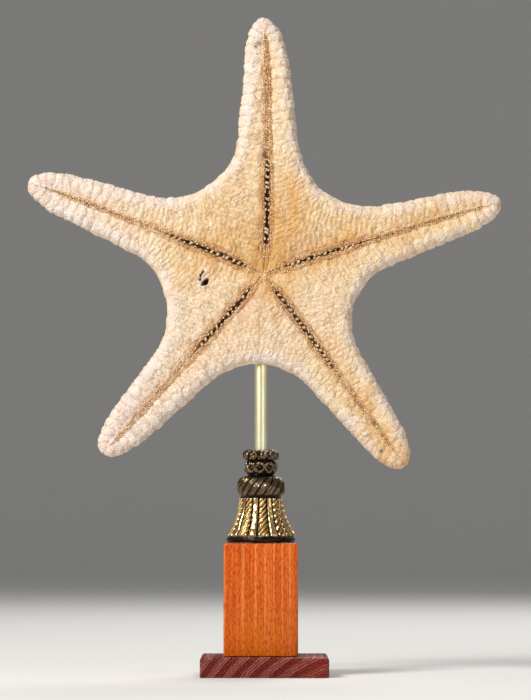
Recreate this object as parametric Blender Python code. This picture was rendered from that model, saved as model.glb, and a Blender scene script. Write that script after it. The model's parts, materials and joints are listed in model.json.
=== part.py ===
"""A dried starfish held up on a small turned-and-sawn display stand.

The starfish stands upright with its underside, the side with the mouth and the five grooves, facing -Y.
A plain brass rod runs down from a hole in its lower edge, through a hollow cast brass tassel, into a square
wooden block. The block is screwed from below to a wider wooden plinth.

Metres, +Z up. The origin is the centre of the plinth's underside.
"""

import math
from dataclasses import dataclass

import bmesh
import bpy
import numpy as np
from mathutils import Matrix, Vector

MM = 0.001

# Clearance kept between neighbouring pieces.
GAP = 0.3 * MM

# Plinth: the wide foot, with softened upper edges.
PLINTH_SIDE = 65.5 * MM
PLINTH_HEIGHT = 10.2 * MM
PLINTH_SOFT_EDGE = 1.7 * MM
PLINTH_FOOT_EDGE = 0.4 * MM

# Everything above the plinth stands on one axis, a little left of the plinth's centre.
COLUMN_X = -1.9 * MM

# Block: square stock, standing on end grain.
BLOCK_SIDE = 38.0 * MM
BLOCK_HEIGHT = 57.4 * MM
BLOCK_SOFT_EDGE = 1.5 * MM
BLOCK_FLOOR = PLINTH_HEIGHT + GAP
BLOCK_TOP = BLOCK_FLOOR + BLOCK_HEIGHT

# Rod: quarter-inch bar, set deep in the block and in the starfish's edge.
ROD_RADIUS = 3.175 * MM
ROD_CHAMFER = 0.4 * MM
ROD_SOCKET_DEPTH = 30.0 * MM
ROD_IN_STARFISH = 25.0 * MM
BORE_RADIUS = ROD_RADIUS + GAP
BORE_SIDES = 32

# Cast tassel, as (radius, height above its foot) up the outside.
TASSEL_FLOOR = BLOCK_TOP + GAP
TASSEL_OUTSIDE = [
    (17.3, 0.0),
    (17.8, 0.7),
    (17.8, 2.1),
    (17.4, 3.2),
    (16.4, 5.0),
    (14.6, 8.0),
    (12.5, 12.0),
    (11.0, 17.2),
    (10.6, 21.0),
    (10.7, 23.3),
    (11.5, 25.2),
    (11.9, 28.2),
    (11.4, 31.0),
    (9.8, 33.2),
    (7.0, 34.3),
    (6.5, 35.6),
    (7.0, 36.8),
    (7.5, 39.2),
    (7.1, 41.6),
    (8.7, 43.0),
    (9.1, 44.9),
    (8.5, 46.6),
    (6.8, 47.6),
]
# Its core cavity, open at the foot, as (radius, height) downwards.
TASSEL_CAVITY = [(7.8, 22.0), (8.6, 17.0), (10.1, 12.0), (12.2, 8.0), (14.2, 4.0), (15.3, 0.0)]
TASSEL_TURN_STEPS = 36

# Starfish: where its mouth is, and the plane of its widest outline.
MOUTH_X = -0.7 * MM
MOUTH_Z = 206.1 * MM
OUTLINE_Y = -1.5 * MM

# An arm tapers evenly from its width at the mouth to its width at the tip, and then rounds off.
ARM_HALF_WIDTH_AT_MOUTH = 22.1 * MM
ARM_HALF_WIDTH_AT_TIP = 9.4 * MM
TIP_ROUNDING_LENGTH = 20.0 * MM

# Underside: nearly flat, with a rolled margin and a groove along each arm.
UNDERSIDE_DEPTH = 6.8 * MM
MARGIN_ROLL = 6.5 * MM
MARGIN_FULLNESS = 2.4
GROOVE_DEPTH = 2.2 * MM
GROOVE_HALF_WIDTH = 1.5 * MM
VALLEY_DEPTH = 0.9 * MM
VALLEY_HALF_WIDTH = 6.0 * MM
MOUTH_DEPTH = 2.5 * MM
MOUTH_RADIUS = 2.5 * MM

# Back: a rounded shoulder, then a swelling that is highest in the middle of the disc.
SHOULDER_WIDTH = 13.0 * MM
SHOULDER_HEIGHT = 10.5 * MM
SWELLING_HEIGHT = 15.0 * MM
SWELLING_STARTS = 7.0 * MM
SWELLING_ENDS = 50.0 * MM
THIN_AT_TIP = 0.64

# Mesh rows along an arm: across the disc, round the bay, along the straight edge and round the tip.
# The first are shares of the way to the bay, and the next are distances short of it.
DISC_ROWS_FROM_MOUTH = (0.0, 0.06, 0.17, 0.32, 0.5, 0.67)
DISC_ROWS_FROM_BAY = (10.0 * MM, 5.5 * MM, 2.6 * MM, 0.8 * MM)
DISC_ROWS = len(DISC_ROWS_FROM_MOUTH) + len(DISC_ROWS_FROM_BAY)
BAY_ROWS = 6
EDGE_ROWS = 8
TIP_ROWS = 6
# Mesh columns from an arm's axis to its edge: distances from the axis, then from the edge.
AXIS_COLUMNS = (0.0, 1.3 * MM, 3.0 * MM)
EDGE_COLUMNS = (5.5 * MM, 2.6 * MM, 0.8 * MM, 0.0)

# Countersunk wood screws, from below the plinth into the block.
SCREW_OFFSET = 11.0 * MM
SCREW_LENGTH = 25.4 * MM
SCREW_RECESS = 0.4 * MM
SCREW_HEAD_RADIUS = 3.5 * MM
SCREW_HEAD_HEIGHT = 2.1 * MM
SCREW_SHANK_RADIUS = 1.75 * MM
SCREW_CORE_RADIUS = 1.2 * MM
SCREW_PLAIN_LENGTH = 8.0 * MM
SCREW_POINT_LENGTH = 3.5 * MM
SCREW_PITCH = 1.5 * MM
SCREW_SIDES = 12
SCREW_RINGS_PER_TURN = 5
SLOT_WIDTH = 0.9 * MM
SLOT_LENGTH = 4.4 * MM
SLOT_DEPTH = 1.3 * MM


@dataclass(frozen=True)
class Arm:
    """One arm: its direction from the mouth in degrees from +X towards +Z, its length and its sideways bow."""

    angle: float
    length: float
    bow: float


# Anticlockwise as seen from the front, starting with the arm that points right.
ARMS = (
    Arm(17.0, 127.2 * MM, 0.7 * MM),
    Arm(90.0, 132.4 * MM, -2.2 * MM),
    Arm(158.6, 129.4 * MM, -1.2 * MM),
    Arm(228.0, 123.5 * MM, 0.7 * MM),
    Arm(306.3, 122.3 * MM, 0.5 * MM),
)
# The radius of the bay on the anticlockwise side of each of those arms.
BAY_RADII = (41.0 * MM, 35.0 * MM, 33.0 * MM, 37.0 * MM, 31.0 * MM)


def clear_scene():
    """Removes every object, so that the file holds only this model."""
    for obj in list(bpy.data.objects):
        bpy.data.objects.remove(obj, do_unlink=True)


def material(name, colour, roughness, metallic=0.0):
    """A plain Principled material."""
    made = bpy.data.materials.new(name)
    made.use_nodes = True
    shader = made.node_tree.nodes["Principled BSDF"]
    shader.inputs["Base Color"].default_value = (*colour, 1.0)
    shader.inputs["Roughness"].default_value = roughness
    shader.inputs["Metallic"].default_value = metallic
    return made


def object_from(name, bm, finish=None, location=(0, 0, 0)):
    """Turns a bmesh into a named object with smooth round faces and sharp corners."""
    mesh = bpy.data.meshes.new(name)
    bm.to_mesh(mesh)
    bm.free()
    mesh.shade_smooth()
    mesh.set_sharp_from_angle(angle=math.radians(35))
    obj = bpy.data.objects.new(name, mesh)
    obj.location = location
    if finish:
        mesh.materials.append(finish)
    bpy.context.scene.collection.objects.link(obj)
    return obj


def cut(target, name, bm, location):
    """Cuts a hidden helper shape out of an object with a Boolean."""
    cutter = object_from(name, bm, location=location)
    cutter.hide_render = True
    cutter.display_type = "WIRE"
    modifier = target.modifiers.new(name, "BOOLEAN")
    modifier.operation = "DIFFERENCE"
    modifier.solver = "EXACT"
    modifier.object = cutter


def cylinder(radius, bottom, top, sides, bottom_radius=None):
    """A closed cylinder or cone on +Z between two heights."""
    bm = bmesh.new()
    bmesh.ops.create_cone(
        bm,
        cap_ends=True,
        segments=sides,
        radius1=radius if bottom_radius is None else bottom_radius,
        radius2=radius,
        depth=top - bottom,
        matrix=Matrix.Translation((0, 0, (top + bottom) / 2)),
    )
    return bm


def box(width, depth, bottom, top):
    """A closed box centred on the Z axis between two heights."""
    bm = bmesh.new()
    size = Matrix.Diagonal((width, depth, top - bottom, 1))
    bmesh.ops.create_cube(bm, size=1, matrix=Matrix.Translation((0, 0, (top + bottom) / 2)) @ size)
    return bm


def round_edges(bm, chosen, radius, segments=3):
    """Rounds the edges of a box that a test picks."""
    bmesh.ops.bevel(
        bm,
        geom=[edge for edge in bm.edges if chosen(edge)],
        offset=radius,
        segments=segments,
        profile=0.5,
        affect="EDGES",
    )


def at_height(edge, height):
    """True if both ends of an edge are at a height."""
    return all(abs(vert.co.z - height) < GAP / 10 for vert in edge.verts)


def screw_places():
    """The two screws' centres on the plinth's underside."""
    return [Vector((COLUMN_X + side * SCREW_OFFSET, 0, 0)) for side in (-1, 1)]


def build_plinth(finish):
    """The foot, with softened edges and two countersunk screw holes."""
    bm = box(PLINTH_SIDE, PLINTH_SIDE, 0, PLINTH_HEIGHT)
    round_edges(bm, lambda edge: not at_height(edge, 0), PLINTH_SOFT_EDGE)
    round_edges(bm, lambda edge: at_height(edge, 0), PLINTH_FOOT_EDGE, segments=1)
    plinth = object_from("plinth", bm, finish)
    head = SCREW_RECESS + SCREW_HEAD_HEIGHT
    shank_hole = SCREW_SHANK_RADIUS + GAP
    mouth = SCREW_HEAD_RADIUS + GAP + SCREW_RECESS
    for number, place in enumerate(screw_places(), 1):
        shank = cylinder(shank_hole, 0.5 * head, PLINTH_HEIGHT + MM, BORE_SIDES)
        cut(plinth, f"cutter_plinth_shank_{number}", shank, place)
        # The countersink runs from just below the face, so its cone is carried down by the same slope.
        slope = (mouth - shank_hole) / head
        sink = cylinder(shank_hole - slope * GAP, -MM, head + GAP, BORE_SIDES, mouth + slope * MM)
        cut(plinth, f"cutter_plinth_sink_{number}", sink, place)
    return plinth


def build_block(finish):
    """The square block, bored from above for the rod and from below for the screws."""
    bm = box(BLOCK_SIDE, BLOCK_SIDE, BLOCK_FLOOR, BLOCK_TOP)
    round_edges(bm, lambda edge: True, BLOCK_SOFT_EDGE)
    block = object_from("block", bm, finish, (COLUMN_X, 0, 0))
    socket = cylinder(BORE_RADIUS, BLOCK_TOP - ROD_SOCKET_DEPTH, BLOCK_TOP + MM, BORE_SIDES)
    cut(block, "cutter_rod_socket", socket, (COLUMN_X, 0, 0))
    for number, place in enumerate(screw_places(), 1):
        top = SCREW_RECESS + SCREW_LENGTH + 2 * GAP
        hole = cylinder(SCREW_SHANK_RADIUS + GAP, BLOCK_FLOOR - MM, top, BORE_SIDES)
        cut(block, f"cutter_block_screw_{number}", hole, place)
    return block


def build_rod(finish):
    """The plain bar, chamfered at both ends."""
    bottom = BLOCK_TOP - ROD_SOCKET_DEPTH + GAP
    top = lower_bay_height() + ROD_IN_STARFISH - GAP
    bm = cylinder(ROD_RADIUS, bottom, top, BORE_SIDES)
    round_edges(bm, lambda edge: at_height(edge, bottom) or at_height(edge, top), ROD_CHAMFER, segments=1)
    return object_from("rod", bm, finish, (COLUMN_X, 0, 0))


def build_tassel(finish):
    """The hollow casting, spun from its outside, its bore and its cavity."""
    bore = BORE_RADIUS / MM
    top = TASSEL_OUTSIDE[-1][1]
    cavity_top = TASSEL_CAVITY[0][1] + 1.0
    profile = [*TASSEL_OUTSIDE, (bore, top), (bore, cavity_top), *TASSEL_CAVITY]
    bm = bmesh.new()
    verts = [bm.verts.new((radius * MM, 0, height * MM)) for radius, height in profile]
    edges = [bm.edges.new((verts[i - 1], verts[i])) for i in range(len(verts))]
    bmesh.ops.spin(
        bm,
        geom=verts + edges,
        axis=(0, 0, 1),
        cent=(0, 0, 0),
        angle=2 * math.pi,
        steps=TASSEL_TURN_STEPS,
        use_merge=True,
    )
    bmesh.ops.remove_doubles(bm, verts=bm.verts, dist=GAP / 100)
    bmesh.ops.recalc_face_normals(bm, faces=bm.faces)
    return object_from("tassel", bm, finish, (COLUMN_X, 0, TASSEL_FLOOR))


def screw_radius(along, turn):
    """A screw's radius at a distance from its head's face, and at an angle given as a share of a turn."""
    if along < SCREW_HEAD_HEIGHT:
        share = along / SCREW_HEAD_HEIGHT
        return SCREW_HEAD_RADIUS + (SCREW_SHANK_RADIUS - SCREW_HEAD_RADIUS) * share
    if along < SCREW_PLAIN_LENGTH:
        return SCREW_SHANK_RADIUS
    phase = (along / SCREW_PITCH - turn) % 1.0
    crest = max(0.0, 1.0 - abs(phase - 0.5) * 3.2)
    radius = SCREW_CORE_RADIUS + (SCREW_SHANK_RADIUS - SCREW_CORE_RADIUS) * crest
    return radius * min(1.0, (SCREW_LENGTH - along) / SCREW_POINT_LENGTH)


def build_screw(number, place, finish):
    """A countersunk wood screw with a real helical thread and a crossed recess."""
    threaded = SCREW_LENGTH - SCREW_PLAIN_LENGTH
    ring_count = round(threaded / SCREW_PITCH * SCREW_RINGS_PER_TURN)
    heights = [0.0, SCREW_HEAD_HEIGHT]
    heights += [SCREW_PLAIN_LENGTH + threaded * i / ring_count for i in range(ring_count)]
    bm = bmesh.new()
    rings = []
    for along in heights:
        ring = []
        for side in range(SCREW_SIDES):
            turn = side / SCREW_SIDES
            radius = screw_radius(along, turn)
            x, y = radius * math.cos(2 * math.pi * turn), radius * math.sin(2 * math.pi * turn)
            ring.append(bm.verts.new((x, y, along)))
        rings.append(ring)
    for lower, upper in zip(rings, rings[1:]):
        for side in range(SCREW_SIDES):
            after = (side + 1) % SCREW_SIDES
            bm.faces.new((lower[side], lower[after], upper[after], upper[side]))
    bm.faces.new(reversed(rings[0]))
    point = bm.verts.new((0, 0, SCREW_LENGTH))
    for side in range(SCREW_SIDES):
        bm.faces.new((rings[-1][side], rings[-1][(side + 1) % SCREW_SIDES], point))
    bmesh.ops.recalc_face_normals(bm, faces=bm.faces)
    middle = place + Vector((0, 0, SCREW_RECESS))
    screw = object_from(f"base_screw_{number}", bm, finish, middle)
    for name, width, depth in (("a", SLOT_WIDTH, SLOT_LENGTH), ("b", SLOT_LENGTH, SLOT_WIDTH)):
        slot = box(width, depth, -MM, SLOT_DEPTH)
        cut(screw, f"cutter_recess_{number}_{name}", slot, middle)
    return screw


def taper_angle(arm):
    """How much an arm's edge leans towards its axis."""
    return math.atan((ARM_HALF_WIDTH_AT_MOUTH - ARM_HALF_WIDTH_AT_TIP) / arm.length)


def half_width(arm, along):
    """An arm's half width at a distance from the mouth, before the bays widen it."""
    share = along / arm.length
    width = ARM_HALF_WIDTH_AT_MOUTH + (ARM_HALF_WIDTH_AT_TIP - ARM_HALF_WIDTH_AT_MOUTH) * share
    from_tip = arm.length - along
    if from_tip < TIP_ROUNDING_LENGTH:
        width *= math.sqrt(max(0.0, 1.0 - (1.0 - from_tip / TIP_ROUNDING_LENGTH) ** 2))
    return width


def bay(index):
    """The bay after an arm: half the angle between its two arms, its circle's distance and radius."""
    first, second = ARMS[index], ARMS[(index + 1) % len(ARMS)]
    half_angle = math.radians((second.angle - first.angle) % 360) / 2
    lean = (taper_angle(first) + taper_angle(second)) / 2
    radius = BAY_RADII[index]
    distance = (radius + ARM_HALF_WIDTH_AT_MOUTH * math.cos(lean)) / math.sin(half_angle + lean)
    return half_angle, distance, radius


def lower_bay_height():
    """The height of the bay between the two lower arms, where the rod goes in."""
    _, distance, radius = bay(3)
    return MOUTH_Z - (distance - radius)


def edge_points(index, side):
    """Points down one side of an arm, as (along, across), from the mouth to the tip, one for each row."""
    arm = ARMS[index]
    half_angle, distance, radius = bay(index if side > 0 else index - 1)
    depth = distance - radius
    outward = [share * depth for share in DISC_ROWS_FROM_MOUTH]
    outward += [depth - short for short in DISC_ROWS_FROM_BAY]
    points = [(out * math.cos(half_angle), out * math.sin(half_angle)) for out in outward]
    centre = (distance * math.cos(half_angle), distance * math.sin(half_angle))
    start = half_angle - math.pi
    turn = math.pi / 2 - half_angle - taper_angle(arm)
    for row in range(BAY_ROWS + 1):
        angle = start + turn * row / BAY_ROWS
        points.append((centre[0] + radius * math.cos(angle), centre[1] + radius * math.sin(angle)))
    straight_from = points[-1][0]
    straight_to = arm.length - TIP_ROUNDING_LENGTH
    for row in range(1, EDGE_ROWS + 1):
        along = straight_from + (straight_to - straight_from) * row / EDGE_ROWS
        points.append((along, half_width(arm, along)))
    for row in range(1, TIP_ROWS + 1):
        along = straight_to + TIP_ROUNDING_LENGTH * math.sin(math.pi / 2 * row / TIP_ROWS)
        points.append((along, half_width(arm, along)))
    return [(along, side * across) for along, across in points]


def outline():
    """The whole outline in the starfish's plane, as an array of points, for measuring distances to it."""
    loop = []
    for index, arm in enumerate(ARMS):
        for side, step in ((-1, 1), (1, -1)):
            for along, across in edge_points(index, side)[DISC_ROWS:][::step]:
                loop.append(turned(arm, along, across))
    return np.array(loop)


def turned(arm, along, across):
    """A point given along and across an arm, in the starfish's plane."""
    angle = math.radians(arm.angle)
    return (
        along * math.cos(angle) - across * math.sin(angle),
        along * math.sin(angle) + across * math.cos(angle),
    )


def distance_to(loop, point):
    """The shortest distance from a point to a closed loop of straight pieces."""
    start = loop
    step = np.roll(loop, -1, axis=0) - start
    length = np.maximum((step**2).sum(axis=1), 1e-18)
    share = np.clip(((np.array(point) - start) * step).sum(axis=1) / length, 0, 1)
    nearest = start + step * share[:, None]
    return float(np.sqrt(((nearest - np.array(point)) ** 2).sum(axis=1)).min())


def rounded(share, fullness):
    """Rises from 0 to 1 like the quarter of a rounded square."""
    return (1.0 - (1.0 - min(share, 1.0)) ** fullness) ** (1.0 / fullness)


def thickness_share(arm, along):
    """Arms thin out from the disc to the tip."""
    share = min(max((along / arm.length - 0.35) / 0.65, 0.0), 1.0)
    return 1.0 + (THIN_AT_TIP - 1.0) * share**1.5


def front_depth(arm, along, across, inside):
    """How far the underside stands in front of the outline's plane, at a distance inside the outline."""
    depth = UNDERSIDE_DEPTH * thickness_share(arm, along) * rounded(inside / MARGIN_ROLL, MARGIN_FULLNESS)
    from_tip = min(1.0, inside / MARGIN_ROLL)
    depth -= VALLEY_DEPTH * from_tip * math.exp(-((across / VALLEY_HALF_WIDTH) ** 2))
    depth -= GROOVE_DEPTH * from_tip * math.exp(-((across / GROOVE_HALF_WIDTH) ** 2))
    return depth - MOUTH_DEPTH * math.exp(-((along / MOUTH_RADIUS) ** 2))


def back_height(arm, along, inside):
    """How far the back stands behind the outline's plane, at a distance inside the outline."""
    height = SHOULDER_HEIGHT * rounded(inside / SHOULDER_WIDTH, 2.0)
    swell = min(max((inside - SWELLING_STARTS) / (SWELLING_ENDS - SWELLING_STARTS), 0.0), 1.0)
    height += SWELLING_HEIGHT * swell * (2 - swell + swell * (3 - 2 * swell)) / 2
    return height * thickness_share(arm, along)


def bowed(index, along, across):
    """Bends an arm sideways by its bow, fading out at the lines between arms so that neighbours meet."""
    arm = ARMS[index]
    half_angle = bay(index if across > 0 else index - 1)[0]
    from_line = half_angle - abs(math.atan2(across, max(along, 1e-9)))
    fade = min(max(from_line / math.radians(20), 0.0), 1.0)
    share = min(along / arm.length, 1.0)
    bend = arm.bow * (1.0 - (2.0 * share - 1.0) ** 4) * fade * fade * (3 - 2 * fade)
    return along, across + bend


def column_places(width, at_margin):
    """Distances from an arm's axis to its side, close together at the groove and, out on the arm, at the margin."""
    count = len(AXIS_COLUMNS) + len(EDGE_COLUMNS) - 1
    places = [min(place, width * j / count) for j, place in enumerate(AXIS_COLUMNS)]
    for j, from_edge in enumerate(EDGE_COLUMNS, len(AXIS_COLUMNS)):
        even = width * (1 - j / count)
        places.append(width - even + (even - min(from_edge, even)) * at_margin)
    return places


def add_arm_side(bm, index, side, loop):
    """Adds the front and the back of one half of an arm, as two sheets that share their outer edge."""
    arm = ARMS[index]
    edges = edge_points(index, side)
    other = edge_points(index, -side)
    sheets = {"front": [], "back": []}
    for (along, across), (along_other, _) in zip(edges, other):
        axis_along = (along + along_other) / 2
        on_disc = len(sheets["front"]) < DISC_ROWS
        out = math.hypot(along, across) / math.hypot(*edges[DISC_ROWS])
        places = column_places(abs(across), min(out, 1.0) ** 2)
        row = {"front": [], "back": []}
        for place in places:
            share = place / abs(across) if across else 0.0
            here = axis_along + (along - axis_along) * share
            flat = turned(arm, here, side * place)
            on_edge = place == places[-1] and not on_disc
            inside = 0.0 if on_edge else distance_to(loop, flat)
            x, z = turned(arm, *bowed(index, here, side * place))
            front = front_depth(arm, here, place, inside)
            back = back_height(arm, here, inside)
            for sheet, y in (("front", -front), ("back", back)):
                height = 0.0 if on_edge else y
                point = (MOUTH_X + x, OUTLINE_Y + height, MOUTH_Z + z)
                row[sheet].append(bm.verts.new(point))
        sheets["front"].append(row["front"])
        sheets["back"].append(row["back"])
    for rows in sheets.values():
        for near, far in zip(rows, rows[1:]):
            for j in range(len(near) - 1):
                bm.faces.new((near[j], near[j + 1], far[j + 1], far[j]))


def build_starfish(finish):
    """The starfish as one solid, with the rod's hole drilled into its lower edge."""
    loop = outline()
    bm = bmesh.new()
    for index in range(len(ARMS)):
        for side in (-1, 1):
            add_arm_side(bm, index, side, loop)
    bmesh.ops.remove_doubles(bm, verts=bm.verts, dist=GAP / 30)
    bmesh.ops.dissolve_degenerate(bm, edges=bm.edges, dist=GAP / 30)
    bmesh.ops.recalc_face_normals(bm, faces=bm.faces)
    starfish = object_from("starfish", bm, finish)
    edge = lower_bay_height()
    hole = cylinder(BORE_RADIUS, edge - 10 * MM, edge + ROD_IN_STARFISH, BORE_SIDES)
    cut(starfish, "cutter_rod_hole", hole, (COLUMN_X, 0, 0))
    return starfish


def main():
    """Builds the stand from the foot up, and then the starfish."""
    clear_scene()
    brass = material("brass", (0.75, 0.68, 0.38), 0.35, 0.9)
    antique_brass = material("antique_brass", (0.38, 0.28, 0.14), 0.4, 0.9)
    red_wood = material("red_wood", (0.17, 0.035, 0.022), 0.5)
    orange_wood = material("orange_wood", (0.58, 0.14, 0.03), 0.5)
    shell = material("starfish", (0.80, 0.60, 0.40), 0.85)
    build_plinth(red_wood)
    build_block(orange_wood)
    for number, place in enumerate(screw_places(), 1):
        build_screw(number, place, brass)
    build_tassel(antique_brass)
    build_rod(brass)
    build_starfish(shell)


main()
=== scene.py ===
"""The looks of a dried starfish on its display stand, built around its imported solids. Metres, +Z up, front -Y."""

import json
import logging
import math
from collections.abc import Callable, Iterator, Sequence
from contextlib import contextmanager
from dataclasses import dataclass, field
from enum import Enum

import bpy
import numpy as np
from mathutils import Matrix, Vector
from mathutils.bvhtree import BVHTree
from mathutils.kdtree import KDTree

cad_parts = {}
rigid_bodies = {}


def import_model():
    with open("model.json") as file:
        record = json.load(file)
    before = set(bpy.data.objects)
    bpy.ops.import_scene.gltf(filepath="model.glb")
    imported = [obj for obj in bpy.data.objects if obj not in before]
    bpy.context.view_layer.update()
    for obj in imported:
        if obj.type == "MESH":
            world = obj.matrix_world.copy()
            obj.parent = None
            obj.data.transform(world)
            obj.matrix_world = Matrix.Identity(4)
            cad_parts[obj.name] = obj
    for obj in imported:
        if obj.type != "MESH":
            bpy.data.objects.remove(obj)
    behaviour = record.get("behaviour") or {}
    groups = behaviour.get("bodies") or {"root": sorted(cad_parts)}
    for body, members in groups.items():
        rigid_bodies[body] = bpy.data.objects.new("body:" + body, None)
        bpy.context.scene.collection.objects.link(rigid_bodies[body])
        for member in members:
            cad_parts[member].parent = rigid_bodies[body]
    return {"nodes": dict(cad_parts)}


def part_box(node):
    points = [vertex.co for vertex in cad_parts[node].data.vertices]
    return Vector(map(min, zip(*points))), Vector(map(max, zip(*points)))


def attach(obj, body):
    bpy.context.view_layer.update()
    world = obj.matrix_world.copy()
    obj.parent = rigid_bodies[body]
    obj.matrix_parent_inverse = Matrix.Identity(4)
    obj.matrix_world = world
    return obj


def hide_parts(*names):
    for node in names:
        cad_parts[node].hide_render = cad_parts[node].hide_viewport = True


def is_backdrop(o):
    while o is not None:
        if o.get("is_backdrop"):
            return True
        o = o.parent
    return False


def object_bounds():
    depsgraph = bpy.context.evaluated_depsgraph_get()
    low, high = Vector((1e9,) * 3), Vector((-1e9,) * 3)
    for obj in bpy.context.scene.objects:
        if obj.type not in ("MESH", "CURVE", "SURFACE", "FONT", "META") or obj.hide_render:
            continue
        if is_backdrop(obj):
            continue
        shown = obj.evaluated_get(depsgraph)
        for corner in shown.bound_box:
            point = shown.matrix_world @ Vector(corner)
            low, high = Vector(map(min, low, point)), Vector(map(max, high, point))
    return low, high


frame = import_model()
CAD_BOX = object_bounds()

MM = 0.001
LOG = logging.getLogger("starfish_on_stand")

Colour = tuple[float, float, float]


def srgb(red: int, green: int, blue: int) -> Colour:
    """Turns a colour as painters' charts give it, 0 to 255, into linear light.

    Args:
        red: The red part.
        green: The green part.
        blue: The blue part.

    Returns:
        The colour's three linear parts.
    """

    def linear(part: int) -> float:
        """One part in linear light."""
        share = part / 255
        return share / 12.92 if share <= 0.04045 else ((share + 0.055) / 1.055) ** 2.4

    return linear(red), linear(green), linear(blue)


# ---------------------------------------------------------------------------------------------------------------
# Shader expressions
# ---------------------------------------------------------------------------------------------------------------


class Signal:
    """One number of a material that changes over the surface, and can be reckoned with like any number."""

    def __init__(self, graph: "Graph", socket: bpy.types.NodeSocket) -> None:
        """Wraps an output socket of a graph."""
        self.graph = graph
        self.socket = socket

    def __add__(self, other: "Signal | float") -> "Signal":
        """Adds."""
        return self.graph.maths("ADD", self, other)

    def __radd__(self, other: float) -> "Signal":
        """Adds, with the number on the left."""
        return self.graph.maths("ADD", other, self)

    def __sub__(self, other: "Signal | float") -> "Signal":
        """Subtracts."""
        return self.graph.maths("SUBTRACT", self, other)

    def __rsub__(self, other: float) -> "Signal":
        """Subtracts from a number on the left."""
        return self.graph.maths("SUBTRACT", other, self)

    def __mul__(self, other: "Signal | float") -> "Signal":
        """Multiplies."""
        return self.graph.maths("MULTIPLY", self, other)

    def __rmul__(self, other: float) -> "Signal":
        """Multiplies, with the number on the left."""
        return self.graph.maths("MULTIPLY", other, self)

    def fraction(self) -> "Signal":
        """The part after the decimal point."""
        return self.graph.maths("FRACT", self)

    def absolute(self) -> "Signal":
        """The size without the sign."""
        return self.graph.maths("ABSOLUTE", self)

    def between(self, low: float, high: float) -> "Signal":
        """Rises smoothly from 0 at one value to 1 at another, which may be the lower one.

        Args:
            low: Where the result is 0.
            high: Where the result is 1.

        Returns:
            The share, never outside 0 to 1.
        """
        flipped = low > high
        ramp = self.graph.node(
            "ShaderNodeMapRange",
            {"interpolation_type": "SMOOTHSTEP"},
            {"Value": self, "From Min": min(low, high), "From Max": max(low, high)},
        )
        share = Signal(self.graph, ramp.outputs[0])
        return 1.0 - share if flipped else share


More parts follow.
